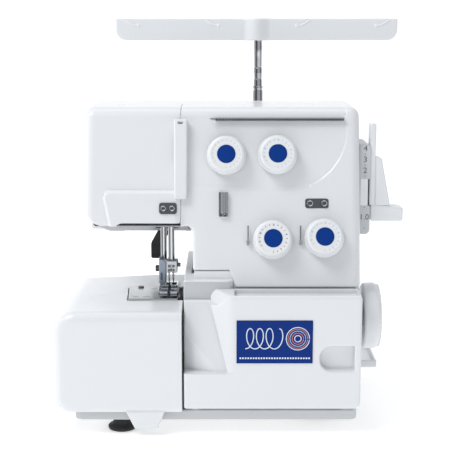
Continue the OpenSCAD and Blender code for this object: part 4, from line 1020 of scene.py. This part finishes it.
mould("lever_housing_shell", leverHousing, (127, 72, 177), (139, 122, 264), 0.9, "machine", "grey_plastic",
      ["lever_housing"])
mould("stitch_lever_body", stitchLever, (128, 74, 205), (157, 117, 284), 0.85, "stitch_lever", "white_plastic",
      ["stitch_length_lever"])
mould("feed_lever_body", feedLever, (128, 74, 189), (171, 117, 207), 0.85, "feed_lever", "white_plastic",
      ["differential_lever"])
grip = grow("row", "white_plastic", Count=9, Pitch=4.2, Length=0.9, Width=17.0, Height=1.4)
moved(grip, (156.2, 82.5, 214.0), turned(math.radians(-101.2), "Y"))
settle(gather("stitch_lever_ribs", [softened(grip, 0.3)]), "stitch_lever", "white_plastic")
scales = []
for text, z in (("4", 260.0), ("3", 249.5), ("2", 239.0), ("1.0", 194.0)):
    place = Matrix.Translation((unit["signX"], unit["signY"], z)) @ turned(quarter, "X")
    scales.append(signMesh(text, unit["digit"], place))
for count, pitch, z in ((3, 10.5, 233.8), (2, 20.0, 183.5)):
    dots = grow("row", darkInk, Count=count, Pitch=pitch, Length=0.8, Width=0.12, Height=0.8)
    scales.append(moved(dots, (unit["signX"], unit["signY"], z), turned(-quarter, "Y")))
windowPlate = gather("lever_window_plate", [boxMesh((129.4, 71.88, 205.5), (136.0, 72.1, 231.0), 0.05)])
settle(windowPlate, "machine", "grey_plastic", material=plateAndHighlightWhite)
settle(gather("lever_scale_marks", scales), "machine", "grey_plastic", material=darkInk)
print("lever unit made")

# Badge with a looped thread and a spool seen from its end
badge = dict(low=(10.5, -0.8, 71.0), high=(80.2, 0.0, 111.5), front=-0.85, thread=0.5, loops=3.5, points=48, left=18.5,
             long=31.0, lean=5.2, high2=9.6, middle=94.5, spool=66.5, ring=0.42)
settle(gather("front_badge_plate", [boxMesh(badge["low"], badge["high"], 0.25)]), "looper_door", "blue_label",
       ["front_badge"])
threadLine = []
for k in range(badge["points"] + 1):
    t = k / badge["points"]
    turn = 2 * math.pi * badge["loops"] * t + math.pi
    threadLine.append((badge["left"] + badge["long"] * t - badge["lean"] * math.sin(turn), badge["front"],
                       badge["middle"] + badge["high2"] * math.cos(turn)))
stitches = grow("row", whiteInk, Count=27, Pitch=2.42, Length=1.5, Width=0.2, Height=1.5)
motif = [wireMesh(threadLine, badge["thread"]), moved(stitches, (14.0, -0.86, 76.0))]
settle(gather("front_badge_thread", motif, sharp=60), "looper_door", "blue_label", material=whiteInk)
spoolRings = ((3.0, whiteInk), (5.2, warmInk), (7.2, paleInk), (9.0, warmInk), (10.6, whiteInk))
for number, (radius, ink) in enumerate(spoolRings):
    ring = [(badge["spool"] + radius * math.cos(a), badge["front"], badge["middle"] + radius * math.sin(a))
            for a in np.linspace(0.0, 6.2, 25)]
    loop = gather("front_badge_ring_%d" % (number + 1), [wireMesh(ring, badge["ring"])], sharp=60)
    settle(loop, "looper_door", "blue_label", material=ink)
print("badge made")

# Thread guides on the panel
stripPlace = panelMatrix(51.0, 286.0)
stripParts = [boxMesh((-60, 1.9, 0.3), (61, 3.0, 6.0), 0.3), boxMesh((-60, 0.4, 0.3), (61, 2.4, 1.1), 0.2)]
point = slabMesh([(-60, 2.9), (-60, 0.4), (-63.2, 0.6), (-66.0, 1.9), (-63.0, 2.8)], 1.4, 0.3)
strip = gather("thread_guide_strip_plate", stripParts + [moved(point, (0, 0, 4.4))], stripPlace)
settle(strip, "machine", "sheet_metal", ["thread_guide_strip"])
comb = grow("row", "dark_steel", Count=40, Pitch=3.02, Length=2.5, Width=0.9, Height=4.2)
settle(gather("thread_guide_strip_comb", [moved(comb, (-58.6, 1.4, 3.0))], stripPlace), "machine", "dark_steel")


def channelGuide(x, y, z):
    u, v, w = onPanel(x, y, z, -1.5, 210.0)
    solid = meet(rect(u, w, (-4.5, 0.3), (4.5, 6.0), (0.5, 0.5, 2.2, 2.2)), abs(v) - 11.5, r=0.8)
    solid = carve(solid, rect(u, w, (-3.0, 1.4), (2.4, 4.6), 0.8) + np.maximum(0, -9.5 - v), r=0.2)
    solid = carve(solid, np.maximum(rect(u, w, (-0.2, 2.0), (1.5, 9.0), 0.4), -8.5 - v), r=0.2)
    return carve(solid, np.sqrt((u + 0.6) ** 2 + (v + 9.6) ** 2 + (w - 6.4) ** 2) - 1.7, r=0.2)


mould("panel_channel_guide", channelGuide, (-6, 43, 197), (3, 54, 222), 0.5, "machine", "chrome",
      ["panel_thread_guides"])


def curl(x, radius, lift, wire=0.72):
    turns = [(x + radius * math.cos(a), radius * math.sin(a), lift + 0.18 * a) for a in np.linspace(0.5, 6.0, 13)]
    return wireMesh([(x + radius * 1.2, -radius * 0.2, lift - 1.2)] + turns, wire)


def guidePlate(name, place, low, high, curls, radius, nodes=(), c=1.4):
    # plate with cut corners and a thread eye at each place in curls
    (left, bottom, under), (right, top, over) = low, high
    outline = [(left + c, bottom), (right - c, bottom), (right, bottom + c), (right, top - c), (right - c, top),
               (left + c, top), (left, top - c), (left, bottom + c)]
    flat = moved(slabMesh(outline, over - under, 0.3), (0, 0, under))
    settle(gather(name + "_plate", [flat], place), "machine", "dark_steel", nodes)
    wires = [curl(x, radius, over + 0.9) for x in curls]
    settle(gather(name + "_curls", wires, place, sharp=60), "machine", "chrome")


guidePlate("panel_guide", panelMatrix(86.0, 211.0), (-11.0, -4.6, 0.3), (11.0, 4.6, 1.5), (-6.6, 6.6), 2.3)
guidePlate("arm_guide", panelMatrix(-53.0, 206.0), (-8.5, -5.0, 4.0), (8.0, 5.4, 5.2), (-4.6, 3.4), 2.0,
           ["arm_thread_guide"])
for number, x in enumerate((21.5, 70.5)):
    spike = rodMesh((0.1, -8.0, 3.9), (0.1, 9.0, 3.9), 0.75, 12)
    foot = boxMesh((-1.3, -9.4, 0.3), (1.3, -4.6, 5.2), 0.5)
    settle(gather("panel_wire_guide_%d" % (number + 1), [spike, foot], panelMatrix(x, 182.0)), "machine", "chrome")
print("thread guides made")

# Needle clamp and needles
cx, cy, cz = clampPlace = (-52.0, 78.0, 139.5)


def clampBlock(x, y, z):
    solid = block(x, y, z, (cx - 4.3, cy - 7.0, cz), (cx + 6.0, cy + 4.5, cz + 12.0), 0.9)
    solid = join(solid, block(x, y, z, (cx - 4.6, cy - 4.0, cz + 9.0), (cx + 6.6, cy + 4.5, cz + 11.8), 0.6), r=0.3)
    solid = carve(solid, block(x, y, z, (cx - 0.4, cy - 9.0, cz - 1.0), (cx + 0.4, cy - 3.0, cz + 8.0), 0.2), r=0.2)
    return carve(solid, tube(x, y, cx, cy, 3.1) + np.maximum(0, cz + 4 - z), r=0.2)


mould("needle_clamp_block", clampBlock, (-57, 71, 139), (-45, 83, 152), 0.45, "needle_carrier", "shaft_steel",
      ["needle_clamp"])
heads = grow("screws", "dark_steel", [(x, y, 0.0) for x in (-2.0, 2.2) for y in (2.6, 6.6)], Head_Radius=1.35,
             Head_Height=1.2, Slot_Width=0.4)
moved(heads, (cx, cy - 7.2, cz), turned(quarter, "X"))
side = grow("screws", "dark_steel", Head_Radius=2.0, Head_Height=3.0, Slot_Width=0.6)
moved(side, (cx + 7.4, cy - 2.0, cz + 7.0), turned(quarter, "Y"))
settle(gather("needle_clamp_screws", [heads, side]), "needle_carrier", "dark_steel")
needleProfile = [(0, 114.5), (0.12, 114.7), (0.42, 118.5), (0.5, 130.0), (0.9, 132.5), (0.9, 147.4), (0, 147.4)]
for number, aside in enumerate((-2.0, 2.0)):
    place = Matrix.Translation((cx + aside, cy - 5.0, 0))
    needle = lathe("needle_%d" % (number + 1), needleProfile, 16, place)
    settle(needle, "needle_carrier", "chrome", [] if number else ["needles"])

# Presser foot, its screw and the lifter
thumb = dict(start=(-68.0, 87.0, 140.6), end=(-64.2, 87.0, 140.6), radius=2.7, teeth=18)
lifterPin = dict(start=(-50, 144, 188), end=(-50, 150, 188), radius=7.0)


def footSole(x, y, z):
    toe = meet(line(y, z, (48.0, 126.4), (52.0, 120.6)), 120.6 - z, line(y, z, (94.0, 120.6), (95.0, 125.6)),
               line(y, z, (95.0, 125.6), (84.0, 128.6)), z - 128.6, line(y, z, (62.0, 128.6), (48.0, 126.6)), r=1.0)
    solid = meet(toe, -63.5 - x, x + 44.5, r=1.4)
    solid = carve(solid, block(x, y, z, (-57.0, 68.0, 110.0), (-47.0, 77.5, 140.0), 1.0), r=0.5)
    solid = carve(solid, block(x, y, z, (-54.4, 40.0, 110.0), (-52.4, 69.0, 140.0), 0.6), r=0.5)
    return carve(solid, block(x, y, z, (-62.0, 55.0, 124.6), (-46.0, 66.0, 135.0), 1.2), r=0.8)


def footShank(x, y, z):
    right = line(x, z, (-57.4, 129.0), (-57.1, 141.0))
    top = line(x, z, (-55.8, 147.0), (-61.0, 152.6))
    solid = meet(-64.3 - x, right, 78.4 - y, y - 95.6, 127.0 - z, z - 151.4, top, r=0.9)
    solid = carve(solid, tube(x, y, -60.0, 91.0, 3.0) + np.maximum(0, 138.6 - z), r=0.2)
    return carve(solid, block(x, y, z, (-62.4, 70.0, 131.0), (-60.4, 80.0, 137.5), 0.7), r=0.4)


mould("presser_foot_sole", footSole, (-64, 48, 120), (-44, 96, 129), 0.55, "presser", "chrome", ["presser_foot"])
mould("presser_foot_shank", footShank, (-65, 78, 126), (-56, 96, 152), 0.55, "presser", "shaft_steel",
      material=shankSteel)
teeth = grow("ring", "dark_steel", Count=thumb["teeth"], Start=0.0, Sweep=fullTurn, Radius=thumb["radius"], Lift=1.9,
             Length=0.7, Width=0.45, Height=3.2)
moved(teeth, thumb["start"], turned(quarter, "Y"))
screw = [rodMesh(thumb["start"], thumb["end"], thumb["radius"], 28), teeth]
settle(gather("presser_thumb_screw", screw), "presser", "dark_steel")
pad = slabMesh([(-76, 154), (-76, 138), (-64, 138), (-64, 154), (-46, 183), (-55, 192)], 5.0, 0.9)
moved(pad, (0, 149.0, 0), turned(quarter, "X"))
lever = [pad, rodMesh(lifterPin["start"], lifterPin["end"], lifterPin["radius"])]
settle(gather("presser_lifter_lever", lever), "lifter", "black_plastic", ["presser_lifter"])

# Needle plate
plateSlots = (((-59.0, 52.0), (-53.0, 94.0)), ((-56.0, 71.4), (-48.4, 74.6)), ((-88.0, 57.0), (-82.0, 58.6)),
              ((-79.0, 57.0), (-71.0, 58.4)), ((-72.0, 88.0), (-66.0, 89.2)))
plateScrewPlaces = ((-83.0, 95.0), (-50.0, 95.0))


def needlePlate(x, y, z):
    solid = meet(line(x, y, (-95.0, 101.0), (-92.0, 50.0)), x + 45.0, 50.0 - y, y - 101.0, 117.0 - z, z - 119.2, r=0.6)
    for low, high in plateSlots:
        solid = carve(solid, rect(x, y, low, high, 0.7) + 0 * z, r=0.3)
    for place in plateScrewPlaces:
        solid = carve(solid, tube(x, y, *place, 1.7) + 0 * z, r=0.2)
    return solid


mould("needle_plate_body", needlePlate, (-95, 50, 117), (-45, 101, 119.2), 0.6, "machine", "sheet_metal",
      ["needle_plate"])
print("needle parts made")

# Knife blade beside the foot, drawn in y and z
upright = Matrix(((0, 0, 1, 0), (1, 0, 0, 0), (0, 1, 0, 0), (0, 0, 0, 1)))
blade = slabMesh([(56.0, 99.0), (74.0, 99.0), (74.0, 112.0), (60.0, 119.5), (56.0, 118.0)], 1.8, 0.25)
arm = slabMesh([(70.0, 100.0), (95.0, 98.0), (96.0, 106.0), (90.0, 109.0), (72.0, 110.0)], 3.0, 0.5)
knife = [moved(blade, (-43.0, 0, 0), upright), moved(arm, (-42.4, 0, 0), upright)]
settle(gather("upper_knife_blade", knife), "knife_arm", "dark_steel", ["upper_knife"])

# Base tray with the hooks of the looper cover
tray = dict(left=-140.0, right=123.0, front=7.5, back=161.0, bottom=13.5, top=23.5, wall=2.5, hooks=(-30, 109), hookWide=6)


def baseTray(x, y, z):
    t = tray
    plan = rect(x, y, (t["left"], t["front"]), (t["right"], t["back"]), 7.0)
    solid = meet(plan, t["bottom"] - z, z - t["top"], r=1.6)
    solid = carve(solid, np.maximum(plan + t["wall"], t["bottom"] + 3.0 - z), r=0.6)
    for at in t["hooks"]:
        upright = block(x, y, z, (at, 9.1, 14.5), (at + t["hookWide"], 13.5, 33.1), 0.6)
        over = block(x, y, z, (at, 3.1, 29.5), (at + t["hookWide"], 10.5, 33.1), 0.6)
        hook = carve(np.minimum(upright, over), tube(y, z, *door["hinge"], 1.7) + 0 * x, r=0.3)
        solid = join(solid, hook, r=0.3)
    return solid


mould("base_tray_shell", baseTray, (-140, 3, 13), (123, 161, 33), 1.3, "machine", "grey_plastic", ["base_tray"])
footPlaces = ((-97, 24), (90, 58), (-97, 143), (87, 143), (-62, 250), (127, 250))
footProfile = [(0, 0), (11.6, 0), (12.8, 0.5), (13.4, 1.6), (13.5, 3.0), (12.6, 3.9), (9.6, 5.2), (8.8, 7.0), (8.2, 13.2),
               (0, 13.2)]
for number, (x, y) in enumerate(footPlaces):
    foot = lathe("rubber_foot_%d" % (number + 1), footProfile, 56, Matrix.Translation((x, y, 0)), sharp=60)
    settle(foot, "machine", "black_rubber", [] if number else ["rubber_feet"])

# Spool stand and its pins
stand = dict(low=(-90.0, 166.0), high=(162.0, 270.0), bottom=13.5, top=22.0, first=-60.0, pitch=64, y=232.0, seat=16.0,
             dish=11.0, boss=5.0, pin=3.2, socket=10.2, bore=5.25)
spoolPlaces = [(stand["first"] + stand["pitch"] * k, stand["y"]) for k in range(4)]


def spoolStand(x, y, z):
    t = stand
    plan = rect(x, y, t["low"], t["high"], (2.0, 2.0, 16.0, 16.0))
    solid = meet(plan, t["bottom"] - z, z - t["top"], r=1.8)
    solid = carve(solid, np.maximum(plan + 3.0, t["bottom"] + 3.0 - z), r=0.8)
    for place in spoolPlaces:
        dish = np.maximum(np.maximum(tube(x, y, *place, t["dish"]), 24.0 - z), -tube(x, y, *place, t["boss"]))
        solid = join(solid, carve(disc(x, y, z, place, t["seat"], 14.0, 25.0), dish, r=0.5), r=0.8)
    mast = (guide["x"], guide["y"])
    solid = join(solid, disc(x, y, z, mast, t["socket"], 14.0, 42.0), r=1.6)
    return carve(solid, np.maximum(tube(x, y, *mast, t["bore"]), 22.5 - z), r=0.3)


mould("spool_stand_shell", spoolStand, (-90, 166, 13), (162, 270, 42), 1.4, "machine", "white_plastic",
      ["spool_stand"])
pinParts = []
for x, y in spoolPlaces:
    fins = grow("ring", "white_plastic", Count=4, Start=0.0, Sweep=fullTurn, Radius=2.6, Lift=44.0, Length=1.1, Width=0.9,
                Height=30.0)
    pinParts += [rodMesh((x, y, 25), (x, y, 85), stand["pin"], 28, 1.2), moved(fins, (x, y, 0))]
settle(gather("spool_pins_set", pinParts), "machine", "white_plastic", ["spool_pins"])


# Power inlet and switch
def inletBody(x, y, z):
    solid = block(x, y, z, (109.0, 121.4, 38.4), (127.6, 148.6, 61.6), 1.0)
    return carve(solid, np.maximum(rect(y, z, (124.0, 42.0), (146.0, 58.0), (1.0, 1.0, 4.0, 4.0)), 113.0 - x), r=0.5)


def rocker(x, y, z):
    face = np.maximum(line(x, z, (127.4, 76.0), (129.6, 86.0)), line(x, z, (129.6, 86.0), (127.4, 96.0)))
    return meet(face, 117.5 - x, 127.2 - y, y - 142.8, 76.2 - z, z - 95.8, r=0.7)


mould("power_inlet_body", inletBody, (109, 121, 38), (128, 149, 62), 0.75, "machine", "black_plastic", ["power_inlet"])
blades = [boxMesh((112.0, at - 1.0, 48.4), (121.0, at + 1.0, 51.6), 0.3) for at in (128, 135, 142)]
settle(gather("power_inlet_blades", blades), "machine", "chrome")
mould("power_switch_rocker", rocker, (117, 127, 76), (130, 143, 96), 0.6, "switch_rocker", "black_plastic",
      ["power_switch"])

# Screw heads and the bars behind the louvres
coverScrews = grow("screws", "chrome", [(x, -z, 0.0) for x in (-111, 0, 105) for z in (185, 280)], Head_Radius=3.2,
                   Head_Height=1.6, Slot_Width=0.8)
moved(coverScrews, (0, 165.8, 0), turned(-quarter, "X"))
settle(gather("cover_screw_heads", [coverScrews]), "machine", "chrome", ["cover_screws"])
plateScrews = grow("screws", "dark_steel", [(*place, 119.8) for place in plateScrewPlaces], Head_Radius=2.8,
                   Head_Height=1.2, Slot_Width=0.8)
settle(gather("plate_screw_heads", [plateScrews]), "machine", "dark_steel", ["plate_screws"])
louvres = grow("row", "grey_plastic", Count=rear["louvres"], Pitch=float(rear["pitch"]), Length=4.0, Width=0.8,
               Height=30.0)
settle(gather("rear_louvres", [moved(louvres, (22.5, 162.0, 67.0))]), "machine", "white_plastic")
print("base and rear parts made")

# Camera, floor and light, in metres
view = dict(place=(-0.011, -1.1346, 0.387), down=10.6, lens=90.88, sensor=36)
camera = newObject("camera", bpy.data.cameras.new("camera"))
camera.location = view["place"]
camera.rotation_euler = (math.radians(90 - view["down"]), 0, 0)
camera.data.lens = view["lens"]
camera.data.sensor_width = view["sensor"]
camera.data.clip_end = 50
scene.camera = camera

sweep = dict(half=5.0, front=-3.0, back=1.6, bend=1.4, top=3.2, colour=(0.86, 0.865, 0.87, 1), rough=0.9, light=0.45)
far = sweep["back"] + sweep["bend"]
arc = [(sweep["back"] + sweep["bend"] * math.sin(a), sweep["bend"] * (1 - math.cos(a)))
       for a in np.linspace(0, quarter, 25)]
profile = [(sweep["front"], 0.0), *arc, (far, sweep["top"])]
floorMesh = bpy.data.meshes.new("floor")
floorMesh.from_pydata([(side * sweep["half"], y, z) for y, z in profile for side in (-1, 1)], [],
                      [(2 * k, 2 * k + 1, 2 * k + 3, 2 * k + 2) for k in range(len(profile) - 1)])
floorMesh.polygons.foreach_set("use_smooth", np.ones(len(floorMesh.polygons), bool))
floorMaterial = bpy.data.materials.new("paleFloor")
floorMaterial.use_nodes = True
floorTree = floorMaterial.node_tree
plug(floorTree, floorTree.nodes["Principled BSDF"], {
    "Base Color": sweep["colour"], "Roughness": sweep["rough"], "Emission Color": (1, 1, 1, 1),
    "Emission Strength": sweep["light"]})
floorMesh.materials.append(floorMaterial)
floor = newObject("floor", floorMesh)

world = bpy.data.worlds.new("studio")
world.use_nodes = True
plug(world.node_tree, world.node_tree.nodes["Background"], {0: (0.93, 0.96, 1.0, 1), 1: 0.5})
scene.world = world
scene.view_settings.view_transform = "Standard"

aim = Vector((0, 0, 0.2))
lamps = dict(  # place, size and power
    key=((-1.0, -0.8, 1.8), (0.8, 0.8), 17.0),
    top=((0.0, 0.2, 1.8), (1.2, 0.8), 4.5),
    left=((-1.6, -0.1, 0.7), (0.4, 1.2), 4.0),
)
for name, (place, size, power) in lamps.items():
    lamp = bpy.data.lights.new(name, "AREA")
    lamp.shape = "RECTANGLE"
    lamp.size, lamp.size_y = size
    lamp.energy = power
    holder = newObject(name, lamp)
    holder.location = place
    holder.rotation_euler = (aim - Vector(place)).to_track_quat("-Z", "Y").to_euler()
print("camera and lights set")
